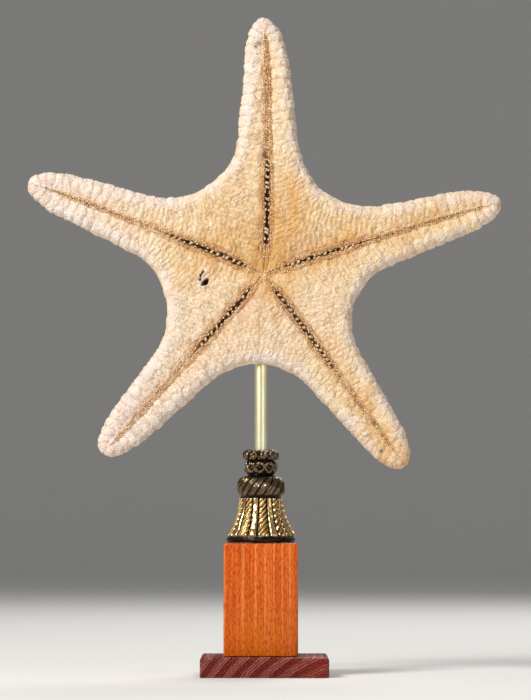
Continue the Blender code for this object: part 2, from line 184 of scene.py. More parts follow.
class Graph:
    """A new material's nodes, added by plain expressions and joined to its Principled shader."""

    def __init__(self, name: str) -> None:
        """Makes the material and finds the shader and the place on the object.

        Args:
            name: The material's name.
        """
        self.material = bpy.data.materials.new(name)
        self.material.use_nodes = True
        self.tree = self.material.node_tree
        self.shader = self.tree.nodes["Principled BSDF"]
        self.place = self.node("ShaderNodeTexCoord")

    @property
    def position(self) -> bpy.types.NodeSocket:
        """Where on the object a point is, in metres."""
        return self.place.outputs["Object"]

    def node(self, kind: str, settings: dict | None = None, sockets: dict | None = None) -> bpy.types.Node:
        """Adds any node.

        Args:
            kind: The node's type.
            settings: Its own settings, set first.
            sockets: Values or links for its inputs, by name or number.

        Returns:
            The node.
        """
        made = self.tree.nodes.new(kind)
        for key, value in (settings or {}).items():
            setattr(made, key, value)
        for key, value in (sockets or {}).items():
            self.feed(made.inputs[key], value)
        return made

    def feed(self, socket: bpy.types.NodeSocket, value: object) -> None:
        """Links or sets an input socket.

        Args:
            socket: The input.
            value: A signal, another node's output, a number, or a colour or vector of three numbers.
        """
        if isinstance(value, Signal):
            self.tree.links.new(value.socket, socket)
        elif isinstance(value, bpy.types.NodeSocket):
            self.tree.links.new(value, socket)
        elif isinstance(value, tuple) and socket.type == "RGBA":
            socket.default_value = (*value, 1.0)
        else:
            socket.default_value = value

    def finish(self, **sockets: object) -> bpy.types.Material:
        """Feeds the Principled shader, with spaces in socket names written as underscores.

        Args:
            **sockets: Values or links for the shader's inputs.

        Returns:
            The finished material.
        """
        for name, value in sockets.items():
            self.feed(self.shader.inputs[name.replace("_", " ")], value)
        return self.material

    def maths(self, operation: str, *values: "Signal | float") -> Signal:
        """Adds a Math node."""
        made = self.node("ShaderNodeMath", {"operation": operation}, dict(enumerate(values)))
        return Signal(self, made.outputs[0])

    def vector(self, operation: str, *values: object, output: int = 0) -> bpy.types.NodeSocket:
        """Adds a Vector Math node and returns one of its outputs."""
        made = self.node("ShaderNodeVectorMath", {"operation": operation}, dict(enumerate(values)))
        return made.outputs[output]

    def mix(self, share: Signal | float, first: object, second: object) -> bpy.types.NodeSocket:
        """Blends two colours.

        Args:
            share: How much of the second colour, 0 to 1.
            first: A colour or a colour socket.
            second: A colour or a colour socket.

        Returns:
            The blended colour's socket.
        """
        made = self.node("ShaderNodeMix", {"data_type": "RGBA"}, {0: share, 6: first, 7: second})
        return made.outputs[2]

    def attribute(self, name: str) -> Signal:
        """Reads a number that is stored on the mesh's vertices."""
        made = self.node("ShaderNodeAttribute", {"attribute_name": name})
        return Signal(self, made.outputs["Fac"])

    def stretched(self, scale: Colour) -> bpy.types.NodeSocket:
        """The place on the object, with each direction scaled on its own."""
        made = self.node("ShaderNodeMapping", None, {"Vector": self.position, "Scale": scale})
        return made.outputs[0]

    def noise(self, size: float, detail: float = 2.0, vector: bpy.types.NodeSocket | None = None) -> Signal:
        """Soft random variation, about 0.5 on average.

        Args:
            size: The size of its features, in metres.
            detail: How many finer layers it has.
            vector: Where it is read, if not at the place on the object.

        Returns:
            The variation, 0 to 1.
        """
        sockets = {"Vector": vector or self.position, "Scale": 1.0 / size, "Detail": detail}
        return Signal(self, self.node("ShaderNodeTexNoise", None, sockets).outputs[0])

    def grains(self, size: float, feature: str = "F1", vector: bpy.types.NodeSocket | None = None) -> Signal:
        """Distances within closely packed random grains.

        Args:
            size: The grains' pitch, in metres.
            feature: F1 for the distance to the nearest grain, or another feature that has a distance.
            vector: Where it is read, if not at the place on the object.

        Returns:
            The distance, as a share of the pitch.
        """
        sockets = {"Vector": vector or self.position, "Scale": 1.0 / size}
        return Signal(self, self.node("ShaderNodeTexVoronoi", {"feature": feature}, sockets).outputs["Distance"])

    def bump(self, height: Signal, depth: float, strength: float = 1.0, under: object = None) -> bpy.types.NodeSocket:
        """Turns a height into a tilted normal.

        Args:
            height: The height, as a share of the depth.
            depth: What a height of 1 stands for, in metres.
            strength: How much of the effect is used.
            under: The normal of a coarser bump below, if there is one.

        Returns:
            The normal's socket.
        """
        sockets = {"Height": height, "Distance": depth, "Strength": strength}
        if under is not None:
            sockets["Normal"] = under
        return self.node("ShaderNodeBump", None, sockets).outputs[0]


# ---------------------------------------------------------------------------------------------------------------
# Finishes
# ---------------------------------------------------------------------------------------------------------------


@dataclass(frozen=True)
class StarfishSkin:
    """Dry, granular skin. The mesh says where it is pale, ochre, rusty, dark or stained, and where shade is painted:
    dark in the joints, the gaps and middle lines of the grooves and the punctures, rusty brown along the bands' edges.
    """

    name: str = "dried_starfish_skin"
    cream: Colour = srgb(241, 213, 171)
    pale: Colour = srgb(232, 216, 203)
    ochre: Colour = srgb(221, 164, 86)
    pink: Colour = srgb(232, 190, 164)
    light: Colour = srgb(255, 245, 228)
    shade: Colour = srgb(176, 132, 84)
    # Colour of the rusty grains, also used for a painted shadow line along the bands' edges.
    rust_and_bank_shadow: Colour = srgb(146, 88, 38)
    # Partly the joints' own darker tint, partly painted shade between plates and between granules.
    joint_tint_and_shade: Colour = srgb(150, 104, 60)
    # Painted shade in the open groove gaps, down the middle lines of the grooves and in the punctures; also the colour
    # of the real scorch mark and dark grit specks.
    furrow_shade_and_marks: Colour = srgb(46, 25, 14)
    stain: Colour = srgb(92, 88, 66)
    granule: float = 0.9 * MM

    def material(self) -> bpy.types.Material:
        """Builds the skin.

        Returns:
            The material.
        """
        graph = Graph(self.name)
        mottle = graph.noise(2.6 * MM, 3.0)
        speckle = graph.noise(0.8 * MM, 2.0)
        blush = graph.noise(12 * MM, 2.0)
        grain = graph.grains(self.granule)
        colour = graph.mix(graph.attribute("ochre"), self.cream, self.ochre)
        colour = graph.mix(graph.attribute("pale"), colour, self.pale)
        colour = graph.mix(blush.between(0.52, 0.75) * 0.25, colour, self.pink)
        tone = graph.attribute("tone") + (mottle - 0.5) * 1.0 + (speckle - 0.5) * 1.7
        colour = graph.mix(tone.between(0.45, 1.25) * 0.6, colour, self.light)
        colour = graph.mix(tone.between(0.45, -0.35) * 0.5, colour, self.shade)
        # Painted shade in the gaps between the granules.
        colour = graph.mix(grain.between(0.48, 0.8) * 0.3, colour, self.joint_tint_and_shade)
        # Partly the joints' own tint, partly painted shade along the plates' joints and along the crease between two
        # arms.
        colour = graph.mix(graph.attribute("joint_tint_and_shade"), colour, self.joint_tint_and_shade)
        # Rusty grains, and a painted shadow line along the bands' edges.
        rust_and_bank_shadow = graph.attribute("rust_and_bank_shadow") * (0.3 + speckle.between(0.38, 0.62) * 0.8)
        colour = graph.mix(rust_and_bank_shadow, colour, self.rust_and_bank_shadow)
        colour = graph.mix(graph.attribute("stain"), colour, self.stain)
        # Painted shade in the open groove gaps, the grooves' middle lines and the punctures, with the real scorch mark
        # and dark grit specks.
        colour = graph.mix(graph.attribute("furrow_shade_and_marks"), colour, self.furrow_shade_and_marks)
        soft = graph.bump(mottle, 0.35 * MM, 0.5)
        beads = graph.bump(grain.between(0.75, 0.0), 0.26 * MM, 0.85, soft)
        return graph.finish(
            Base_Color=colour,
            Roughness=0.82 + (speckle - 0.5) * 0.2,
            Specular_IOR_Level=0.25,
            Normal=graph.bump(graph.grains(0.5 * MM).between(0.7, 0.0), 0.1 * MM, 0.8, beads),
        )


@dataclass(frozen=True)
class GrooveSpines:
    """The little blunt spines that close over the grooves, with painted shade at their feet."""

    name: str = "groove_spines"
    # Painted shade at the spines' feet.
    foot: Colour = srgb(112, 64, 28)
    tip: Colour = srgb(242, 216, 172)
    ochre: Colour = srgb(206, 144, 76)

    def material(self) -> bpy.types.Material:
        """Builds the spines' finish.

        Returns:
            The material.
        """
        graph = Graph(self.name)
        speckle = graph.noise(0.5 * MM, 2.0)
        height = graph.attribute("height") + (speckle - 0.5) * 0.5
        top = graph.mix(graph.attribute("tone"), self.tip, self.ochre)
        # Darker towards each spine's foot: painted shade where it stands in the groove.
        colour = graph.mix(height.between(0.1, 0.85), self.foot, top)
        return graph.finish(Base_Color=colour, Roughness=0.8 + (speckle - 0.5) * 0.2, Specular_IOR_Level=0.3)


@dataclass(frozen=True)
class CastBrass:
    """Antiqued cast brass: dark patina in the hollows, deepened with painted shade in the gaps, the joins between tiers
    and the foot ring, and bright high places that are partly worn and partly painted highlights.
    """

    name: str = "antique_cast_brass"
    bright: Colour = srgb(228, 192, 134)
    worn: Colour = srgb(116, 98, 74)
    # Also painted shade in the gaps, the joins between tiers and the foot ring.
    patina: Colour = srgb(26, 19, 14)

    def material(self) -> bpy.types.Material:
        """Builds the brass.

        Returns:
            The material.
        """
        graph = Graph(self.name)
        cloud = graph.noise(3 * MM, 3.0)
        pits = graph.noise(0.6 * MM, 2.0)
        # Worn bright on the high places, partly real wear and partly painted highlight.
        wear_and_highlight = graph.attribute("wear_and_highlight") + (cloud - 0.5) * 0.4
        # Dark in the hollows: patina, and painted shade in the gaps, joins and foot ring.
        dark = (graph.attribute("patina_and_shade") + (cloud - 0.5) * 0.5 + (pits - 0.5) * 0.3).between(0.22, 0.72)
        colour = graph.mix(wear_and_highlight.between(0.2, 0.85), self.worn, self.bright)
        colour = graph.mix(dark, colour, self.patina)
        return graph.finish(
            Base_Color=colour,
            Metallic=1.0 - dark * 0.25,
            Roughness=0.24 + dark * 0.12 + (pits - 0.5) * 0.15,
            Normal=graph.bump(pits + cloud, 0.08 * MM, 0.35),
        )


@dataclass(frozen=True)
class DrawnBrass:
    """Plain brass bar with faint lengthwise draw lines and slight tarnish."""

    name: str = "drawn_brass"
    clean: Colour = srgb(255, 253, 214)
    tarnish: Colour = srgb(246, 230, 172)

    def material(self) -> bpy.types.Material:
        """Builds the brass.

        Returns:
            The material.
        """
        graph = Graph(self.name)
        lines = graph.noise(0.35 * MM, 2.0, graph.stretched((1.0, 1.0, 0.012)))
        cloud = graph.noise(7 * MM, 3.0)
        colour = graph.mix((cloud - 0.5 + lines * 0.3).between(0.0, 0.5) * 0.6, self.clean, self.tarnish)
        return graph.finish(
            Base_Color=colour,
            Metallic=1.0,
            Roughness=0.34 + lines * 0.12,
            Normal=graph.bump(lines, 0.02 * MM, 0.5),
        )


@dataclass(frozen=True)
class PlainSteel:
    """Bright screw steel with a little dirt."""

    name: str = "screw_steel"

    def material(self) -> bpy.types.Material:
        """Builds the steel.

        Returns:
            The finished material.
        """
        graph = Graph(self.name)
        dirt = graph.noise(1.2 * MM, 3.0)
        colour = graph.mix(dirt.between(0.5, 0.8) * 0.7, srgb(196, 192, 182), srgb(96, 84, 70))
        return graph.finish(Base_Color=colour, Metallic=1.0, Roughness=0.32 + dirt.between(0.4, 0.8) * 0.3)


class Grain(Enum):
    """The direction in which a board's fibres run."""

    UPRIGHT = (0.0, 0.0, 1.0)
    FRONT_TO_BACK = (0.0, 1.0, 0.0)


@dataclass(frozen=True)
class StainedTimber:
    """Stained and varnished softwood, cut from a log whose heart lies somewhere outside the piece."""

    name: str
    grain: Grain
    heart: Colour
    ring: float
    early: Colour
    late: Colour
    streak: Colour
    fleck: Colour
    end: Colour
    # A patch of deeper colour low on the front of the board: painted shade.
    shade_patch: Colour
    shade_patch_place: Colour
    shade_patch_reach: float
    late_share: float = 0.5
    wander: float = 1.0
    lines: float = 5.0
    fleck_share: float = 0.5
    gloss: float = 0.42

    def material(self) -> bpy.types.Material:
        """Builds the wood from its year rings, its fibres and its pores.

        Returns:
            The material.
        """
        graph = Graph(self.name)
        along = self.grain.value
        across = tuple(1.0 - part for part in along)
        slow = tuple(1.0 - 0.93 * part for part in along)
        wander = graph.noise(16 * MM, 2.0, graph.stretched(slow)) - 0.5
        from_heart = graph.vector("SUBTRACT", graph.position, self.heart)
        flat = graph.vector("MULTIPLY", from_heart, across)
        radius = Signal(graph, graph.vector("LENGTH", flat, output=1))
        year = (radius + wander * (self.wander * self.ring)) * (1.0 / self.ring)
        phase = year.fraction()
        late = phase.between(0.82 - self.late_share, 0.82 - 0.4 * self.late_share) * phase.between(1.0, 0.95)
        thin = (year * self.lines + graph.noise(2 * MM, 2.0, graph.stretched(slow)) * 1.6).fraction()
        fine = tuple(1.0 - 0.985 * part for part in along)
        fibres = graph.noise(0.55 * MM, 3.0, graph.stretched(fine))
        bands = graph.noise(5 * MM, 2.0, graph.stretched(fine))
        pores = graph.grains(0.9 * MM, vector=graph.stretched(tuple(1.0 - 0.9 * part for part in along)))
        colour = graph.mix(late, self.early, self.late)
        # Deeper colour round a place low on the front: painted shade toward the bottom.
        away = Signal(graph, graph.vector("DISTANCE", graph.position, self.shade_patch_place, output=1))
        colour = graph.mix(away.between(self.shade_patch_reach, 0.0) * 0.8, colour, self.shade_patch)
        colour = graph.mix(bands.between(0.42, 0.72) * 0.35, colour, self.late)
        colour = graph.mix(thin.between(0.7, 0.85) * (1.0 - late * 0.75) * 0.6, colour, self.streak)
        colour = graph.mix(fibres.between(0.48, 0.7) * (0.8 * self.fleck_share), colour, self.fleck)
        short = tuple(1.0 - 0.7 * part for part in along)
        flecks = graph.noise(0.7 * MM, 2.0, graph.stretched(short))
        colour = graph.mix(flecks.between(0.5, 0.66) * (1.1 * self.fleck_share), colour, self.fleck)
        colour = graph.mix(flecks.between(0.48, 0.32) * (0.9 * self.fleck_share), colour, self.streak)
        colour = graph.mix(pores.between(0.2, 0.05) * 0.5, colour, self.end)
        facing = graph.vector("DOT_PRODUCT", graph.place.outputs["Normal"], along, output=1)
        end_grain = Signal(graph, facing).absolute().between(0.6, 0.95)
        colour = graph.mix(end_grain * 0.35, colour, self.end)
        height = late * 0.6 + fibres * 0.7
        return graph.finish(
            Base_Color=colour,
            Roughness=self.gloss + (fibres - 0.5) * 0.25 + end_grain * 0.1,
            Specular_IOR_Level=0.12,
            Coat_Weight=0.05,
            Coat_Roughness=0.25,
            Normal=graph.bump(height, 0.06 * MM, 0.5),
        )


@dataclass(frozen=True)
class StudioPaper:
    """The plain pale paper that the stand is set on."""

    name: str = "studio_paper"
    colour: Colour = srgb(226, 224, 220)

    def material(self) -> bpy.types.Material:
        """Builds the paper.

        Returns:
            The finished material.
        """
        graph = Graph(self.name)
        cloud = graph.noise(0.2, 2.0)
        tint = graph.mix(cloud * 0.08, self.colour, srgb(205, 203, 200))
        return graph.finish(Base_Color=tint, Roughness=0.9, Specular_IOR_Level=0.2)


# ---------------------------------------------------------------------------------------------------------------
# Modelling helpers
# ---------------------------------------------------------------------------------------------------------------


def choose(*objects: bpy.types.Object) -> None:
    """Selects just these objects and makes the first one active.

    Args:
        *objects: The objects; none clears the selection.
    """
    for other in bpy.context.view_layer.objects:
        other.select_set(False)
    for obj in objects:
        obj.select_set(True)
    bpy.context.view_layer.objects.active = objects[0] if objects else None


@contextmanager
def editing(obj: bpy.types.Object, mode: str = "FACE") -> Iterator[None]:
    """Opens an object in edit mode with nothing selected.

    Args:
        obj: The object.
        mode: VERT, EDGE or FACE, for what is picked.

    Yields:
        Nothing.
    """
    choose(obj)
    bpy.ops.object.mode_set(mode="EDIT")
    bpy.ops.mesh.select_mode(type=mode)
    bpy.ops.mesh.select_all(action="DESELECT")
    try:
        yield
    finally:
        bpy.ops.object.mode_set(mode="OBJECT")


def pick(obj: bpy.types.Object, test: Callable[[Vector], bool], what: str = "edges") -> None:
    """Selects the parts of an object in edit mode whose middle passes a test.

    Args:
        obj: The object being edited.
        test: Says whether a middle, in the object's own space, is wanted.
        what: vertices, edges or polygons.
    """
    bpy.ops.mesh.select_all(action="DESELECT")
    bpy.ops.object.mode_set(mode="OBJECT")
    mesh = obj.data
    for part in getattr(mesh, what):
        corners = [mesh.vertices[i].co for i in ([part.index] if what == "vertices" else part.vertices)]
        part.select = test(sum(corners, Vector()) / len(corners))
    bpy.ops.object.mode_set(mode="EDIT")


def apply_modifier(obj: bpy.types.Object, kind: str, **settings: object) -> None:
    """Adds a modifier and applies it.

    Args:
        obj: The object.
        kind: The modifier's type.
        **settings: Its settings.
    """
    choose(obj)
    modifier = obj.modifiers.new(kind.lower(), kind)
    for key, value in settings.items():
        setattr(modifier, key, value)
    bpy.ops.object.modifier_apply(modifier=modifier.name)


def settle(obj: bpy.types.Object, sharp: float = 40.0) -> None:
    """Applies an object's place to its mesh and shades it smooth but for its sharp edges.

    Args:
        obj: The object.
        sharp: The angle in degrees above which an edge stays sharp.
    """
    choose(obj)
    bpy.ops.object.transform_apply(location=True, rotation=True, scale=True)
    bpy.ops.object.shade_smooth_by_angle(angle=math.radians(sharp))


def drill(obj: bpy.types.Object, cutter: bpy.types.Object) -> None:
    """Cuts one object out of another and throws the cutter away."""
    apply_modifier(obj, "BOOLEAN", operation="DIFFERENCE", solver="EXACT", object=cutter)
    bpy.data.objects.remove(cutter, do_unlink=True)


def node_copy(node: str, name: str) -> bpy.types.Object:
    """Copies a solid's mesh into a new object, with its loose triangles joined up.

    Args:
        node: The solid's name.
        name: The new object's name.

    Returns:
        The new object.
    """
    obj = bpy.data.objects.new(name, frame["nodes"][node].data.copy())
    obj.data.materials.clear()
    bpy.context.scene.collection.objects.link(obj)
    with editing(obj, "VERT"):
        bpy.ops.mesh.select_all(action="SELECT")
        bpy.ops.mesh.remove_doubles(threshold=0.002 * MM)
    return obj


def points_of(obj: bpy.types.Object) -> np.ndarray:
    """Reads an object's vertices.

    Args:
        obj: The object.

    Returns:
        A row of x, y and z for each vertex.
    """
    flat = np.empty(len(obj.data.vertices) * 3)
    obj.data.vertices.foreach_get("co", flat)
    return flat.reshape(-1, 3)


def normals_of(obj: bpy.types.Object) -> np.ndarray:
    """Reads an object's vertex normals.

    Args:
        obj: The object.

    Returns:
        A row of x, y and z for each vertex.
    """
    flat = np.empty(len(obj.data.vertices) * 3)
    obj.data.vertex_normals.foreach_get("vector", flat)
    return flat.reshape(-1, 3)


def move_points(obj: bpy.types.Object, points: np.ndarray) -> None:
    """Puts an object's vertices at new places."""
    obj.data.vertices.foreach_set("co", points.ravel())
    obj.data.update()


def store(obj: bpy.types.Object, name: str, values: np.ndarray) -> None:
    """Stores one number for each vertex under a name that materials can read."""
    layer = obj.data.attributes.get(name) or obj.data.attributes.new(name, "FLOAT", "POINT")
    layer.data.foreach_set("value", np.clip(values, 0.0, 1.0).astype(np.float32))


def smooth_step(values: np.ndarray, low: float, high: float) -> np.ndarray:
    """Rises smoothly from 0 at one value to 1 at another, which may be the lower one."""
    share = np.clip((values - low) / (high - low), 0.0, 1.0)
    return share * share * (3.0 - 2.0 * share)


def ripple(points: np.ndarray, size: float, seed: int, layers: int = 9) -> np.ndarray:
    """Smooth random variation in space, from a few plane waves in random directions.

    Args:
        points: The places, one in each row.
        size: The size of the variation, in the same unit.
        seed: Which variation it is.
        layers: How many waves are added.

    Returns:
        A number for each point, mostly from -1 to 1.
    """
    chance = np.random.default_rng(seed)
    total = np.zeros(len(points))
    for _ in range(layers):
        direction = chance.normal(size=points.shape[1])
        direction *= chance.uniform(0.7, 1.4) * math.pi / (size * np.linalg.norm(direction))
        total += np.sin(points @ direction + chance.uniform(0, 2 * math.pi))
    return total * math.sqrt(2.0 / layers)


def dress(
    obj: bpy.types.Object,
    finish: bpy.types.Material,
    replaced: Sequence[str] = (),
) -> bpy.types.Object:
    """Gives a piece its finish and ties it to the frame.

    Args:
        obj: The piece.
        finish: Its material.
        replaced: The solids that it stands for.

    Returns:
        The piece.
    """
    obj.data.materials.clear()
    obj.data.materials.append(finish)
    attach(obj, "root")
    if replaced:
        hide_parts(*replaced)
    LOG.info("%s: %d faces", obj.name, len(obj.data.polygons))
    return obj


# ---------------------------------------------------------------------------------------------------------------
# The stand
# ---------------------------------------------------------------------------------------------------------------


@dataclass
class Timber:
    """The plinth and the block, each sawn, softened and drilled."""

    plinth_edge: float = 1.7 * MM
    block_edge: float = 1.5 * MM
    rod_hole: float = 3.475 * MM
    rod_hole_depth: float = 30 * MM
    screw_hole: float = 2.05 * MM
    screw_sink: float = 4.2 * MM
    sink_depth: float = 2.5 * MM
    plinth_finish: StainedTimber = StainedTimber(
        name="red_stained_timber",
        grain=Grain.FRONT_TO_BACK,
        heart=(59 * MM, 0.0, -63 * MM),
        ring=6.6 * MM,
        early=srgb(128, 60, 50),
        late=srgb(88, 8, 0),
        streak=srgb(212, 150, 136),
        fleck=srgb(84, 14, 6),
        end=srgb(84, 12, 4),
        # Deeper red low on the front: painted shade.
        shade_patch=srgb(138, 38, 8),
        shade_patch_place=(34 * MM, -33 * MM, 0.0),
        shade_patch_reach=26 * MM,
        late_share=0.5,
        wander=0.3,
        fleck_share=0.22,
    )
    block_finish: StainedTimber = StainedTimber(
        name="orange_stained_timber",
        grain=Grain.UPRIGHT,
        heart=(-24 * MM, 11 * MM, 0.0),
        ring=3.0 * MM,
        early=srgb(198, 82, 24),
        late=srgb(226, 128, 62),
        streak=srgb(226, 120, 44),
        fleck=srgb(142, 44, 8),
        end=srgb(146, 54, 14),
        # Deeper, more saturated orange low on the front: painted shade.
        shade_patch=srgb(220, 112, 10),
        shade_patch_place=(-2 * MM, -19 * MM, 14 * MM),
        shade_patch_reach=30 * MM,
        late_share=0.06,
        wander=0.3,
        lines=4.0,
    )

    def _slab(self, node: str, edge: float) -> bpy.types.Object:
        """Adds a box of a solid's size and rounds all its edges but a square foot's.

        Args:
            node: The solid's name.
            edge: The rounding's radius.

        Returns:
            The slab.
        """
        low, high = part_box(node)
        choose()
        bpy.ops.mesh.primitive_cube_add(size=1, location=(low + high) / 2, scale=high - low)
        slab = bpy.context.object
        slab.name = f"{node}_board"
        choose(slab)
        bpy.ops.object.transform_apply(location=True, rotation=True, scale=True)
        with editing(slab, "EDGE"):
            pick(slab, lambda middle: middle.z > low.z + 0.1 * MM)
            bpy.ops.mesh.bevel(offset=edge, segments=5, profile=0.5, affect="EDGES")
            pick(slab, lambda middle: middle.z < low.z + 0.01 * MM)
            bpy.ops.mesh.bevel(offset=0.4 * MM, segments=2, profile=0.5, affect="EDGES")
        return slab

    def _hole(self, obj: bpy.types.Object, x: float, bottom: float, top: float, radius: float, flare: float) -> None:
        """Drills an upright hole, wider at its foot where it is countersunk.

        Args:
            obj: The board.
            x: The hole's place from side to side.
            bottom: Where the drill starts.
            top: Where it ends.
            radius: The hole's radius at its top.
            flare: Its radius at the bottom.
        """
        choose()
        bpy.ops.mesh.primitive_cone_add(
            vertices=48, radius1=flare, radius2=radius, depth=top - bottom, location=(x, 0, (bottom + top) / 2)
        )
        drill(obj, bpy.context.object)

    def _screw_places(self) -> list[float]:
        """The two screws' places from side to side."""
        return [float((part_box(f"base_screw_{n}")[0].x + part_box(f"base_screw_{n}")[1].x) / 2) for n in (1, 2)]

    def build_plinth(self) -> bpy.types.Object:
        """Makes the wide foot with its two countersunk holes.

        Returns:
            The plinth.
        """
        plinth = self._slab("plinth", self.plinth_edge)
        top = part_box("plinth")[1].z
        for x in self._screw_places():
            self._hole(plinth, x, -MM, top + MM, self.screw_hole, self.screw_hole)
            slope = (self.screw_sink - self.screw_hole) / self.sink_depth
            self._hole(plinth, x, -MM, self.sink_depth, self.screw_hole, self.screw_sink + slope * MM)
        settle(plinth, 30)
        return dress(plinth, self.plinth_finish.material(), ["plinth"])

    def build_block(self) -> bpy.types.Object:
        """Makes the square block, drilled for the rod and the screws.

        Returns:
            The block.
        """
        block = self._slab("block", self.block_edge)
        low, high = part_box("block")
        self._hole(block, (low.x + high.x) / 2, high.z - self.rod_hole_depth, high.z + MM, self.rod_hole, self.rod_hole)
        for number, x in enumerate(self._screw_places(), 1):
            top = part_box(f"base_screw_{number}")[1].z + 0.3 * MM
            self._hole(block, x, low.z - MM, top, self.screw_hole, self.screw_hole)
        settle(block, 30)
        return dress(block, self.block_finish.material(), ["block"])


@dataclass
class Metalwork:
    """The plain rod and the two screws."""

    chamfer: float = 0.4 * MM

    def build_rod(self) -> bpy.types.Object:
        """Makes the round bar with its chamfered ends.

        Returns:
            The rod.
        """
        low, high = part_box("rod")
        choose()
        bpy.ops.mesh.primitive_cylinder_add(
            vertices=96, radius=(high.x - low.x) / 2, depth=high.z - low.z, location=(low + high) / 2
        )
        rod = bpy.context.object
        rod.name = "rod_bar"
        half = (high.z - low.z) / 2
        with editing(rod, "EDGE"):
            pick(rod, lambda middle: abs(abs(middle.z) - half) < 0.01 * MM)
            bpy.ops.mesh.bevel(offset=self.chamfer, segments=2, profile=0.6, affect="EDGES")
        settle(rod, 35)
        return dress(rod, DrawnBrass().material(), ["rod"])

    def build_screws(self) -> list[bpy.types.Object]:
        """Makes both screws from their solids, rounded off.

        Returns:
            The screws.
        """
        finish = PlainSteel().material()
        made = []
        for number in (1, 2):
            screw = node_copy(f"base_screw_{number}", f"countersunk_screw_{number}")
            settle(screw, 42)
            made.append(dress(screw, finish, [f"base_screw_{number}"]))
        return made


@dataclass
class CastTassel:
    """The hollow cast tassel: a skirt of cords and ribs, a twisted ring, a knotted tier and a leafy collar."""

    outside: tuple[tuple[float, float], ...] = (
        (17.2, 0.0),
        (17.7, 0.5),
        (17.7, 2.0),
        (17.0, 2.5),
        (16.9, 3.2),
        (15.8, 4.9),
        (14.6, 7.0),
        (13.3, 9.5),
        (12.1, 12.5),
        (11.2, 15.5),
        (10.6, 18.5),
        (10.3, 21.5),
        (10.2, 23.2),
        (10.8, 24.0),
        (11.5, 25.4),
        (11.9, 28.0),
        (11.5, 30.6),
        (10.2, 32.6),
        (8.2, 33.8),
        (6.7, 34.3),
        (6.4, 35.3),
        (6.9, 36.3),
        (7.4, 38.2),
        (7.4, 40.0),
        (6.9, 41.5),
        (7.4, 42.3),
        (8.7, 43.2),
        (9.1, 44.6),
        (8.6, 46.0),
        (7.2, 46.9),
        (5.0, 47.4),
        (3.7, 47.5),
    )
    inside: tuple[tuple[float, float], ...] = (
        (3.5, 47.2),
        (3.475, 30.0),
        (3.5, 23.2),
        (4.2, 22.8),
        (7.6, 22.2),
        (8.2, 18.0),
        (9.8, 12.0),
        (12.2, 7.5),
        (14.2, 3.8),
        (15.3, 0.3),
        (15.7, 0.0),
    )
    sides: int = 80
    ring_step: float = 1.05
    repeats: int = 9
    first_cord: float = 5.0
    cord_half: float = 11.0
    strands: int = 16
    lobes: int = 10
    first_eye: float = -4.0
    braid_height: float = 38.3
    braid_reach: float = 2.3
    braid_radius: float = 7.4

    def _close_rings(self) -> Iterator[tuple[float, float]]:
        """Spaces the outside's rings evenly and closely, so that the relief has enough to work with.

        Yields:
            Each ring's radius and height, in millimetres.
        """
        for (radius, height), (wider, higher) in zip(self.outside, self.outside[1:]):
            pieces = max(1, round(math.hypot(wider - radius, higher - height) / self.ring_step))
            for share in np.arange(pieces) / pieces:
                yield float(radius + (wider - radius) * share), float(height + (higher - height) * share)
        yield self.outside[-1]

    def _spun(self) -> bpy.types.Object:
        """Raises the shell ring by ring from a circle, out and up, over the top and down the inside.

        Returns:
            The plain shell.
        """
        low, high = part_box("tassel")
        middle = Vector(((low.x + high.x) / 2, 0.0, low.z))
        rings = [(r * MM, h * MM) for r, h in (*self._close_rings(), *self.inside)]
        choose()
        bpy.ops.mesh.primitive_circle_add(vertices=self.sides, radius=rings[0][0], fill_type="NOTHING", location=middle)
        shell = bpy.context.object
        shell.name = "cast_tassel"
        choose(shell)
        bpy.ops.object.transform_apply(location=True, rotation=True, scale=True)
        with editing(shell, "EDGE"):
            bpy.ops.mesh.select_all(action="SELECT")
            for (radius, height), (wider, higher) in zip(rings, rings[1:]):
                bpy.ops.mesh.extrude_edges_move()
                centre = middle + Vector((0, 0, height))
                scale = wider / radius
                bpy.ops.transform.resize(value=(scale, scale, 1), center_override=centre)
                bpy.ops.transform.translate(value=(0, 0, higher - height))
            bpy.ops.mesh.select_all(action="SELECT")
            bpy.ops.mesh.delete_loose()
            bpy.ops.mesh.select_all(action="DESELECT")
            bpy.ops.mesh.select_non_manifold()
            bpy.ops.mesh.bridge_edge_loops()
            bpy.ops.mesh.select_all(action="SELECT")
            bpy.ops.mesh.normals_make_consistent(inside=False)
        apply_modifier(shell, "SUBSURF", levels=2, render_levels=2)
        return shell

    def _skirt(self, turn: np.ndarray, radius: np.ndarray, height: np.ndarray) -> np.ndarray:
        """The relief of the skirt: a twisted cord and a smooth rib by turns, with dark gaps between.

        Args:
            turn: Each point's angle in degrees.
            radius: Its distance from the axis, in millimetres.
            height: Its height above the foot, in millimetres.

        Returns:
            How far each point stands out, in millimetres.
        """
        pitch = 360.0 / self.repeats
        off = (turn - self.first_cord + pitch / 2) % pitch - pitch / 2
        beside = np.radians(off) * radius
        half = np.radians(self.cord_half) * radius
        inner = beside / half
        dome = np.sqrt(np.clip(1 - inner**2, 0, 1))
        wave = (height - beside * 1.05) / 2.75
        lay = np.abs((wave % 1.0) * 2 - 1)
        strand = np.clip(1 - lay**2, 0, 1) ** 0.7
        cord = dome * (1.65 * strand - 0.1)
        rib_off = np.radians(pitch / 2 - np.abs(off)) * radius
        rib_half = np.radians(pitch / 2 - self.cord_half - 1.6) * radius
        rib = np.clip(1 - (rib_off / rib_half) ** 4, 0, 1) ** 0.5 * 1.0
        relief = np.where(np.abs(inner) < 1, cord, rib) - 0.4
        fade = smooth_step(height, 2.9, 3.9) * smooth_step(height, 23.4, 22.4)
        return relief * fade

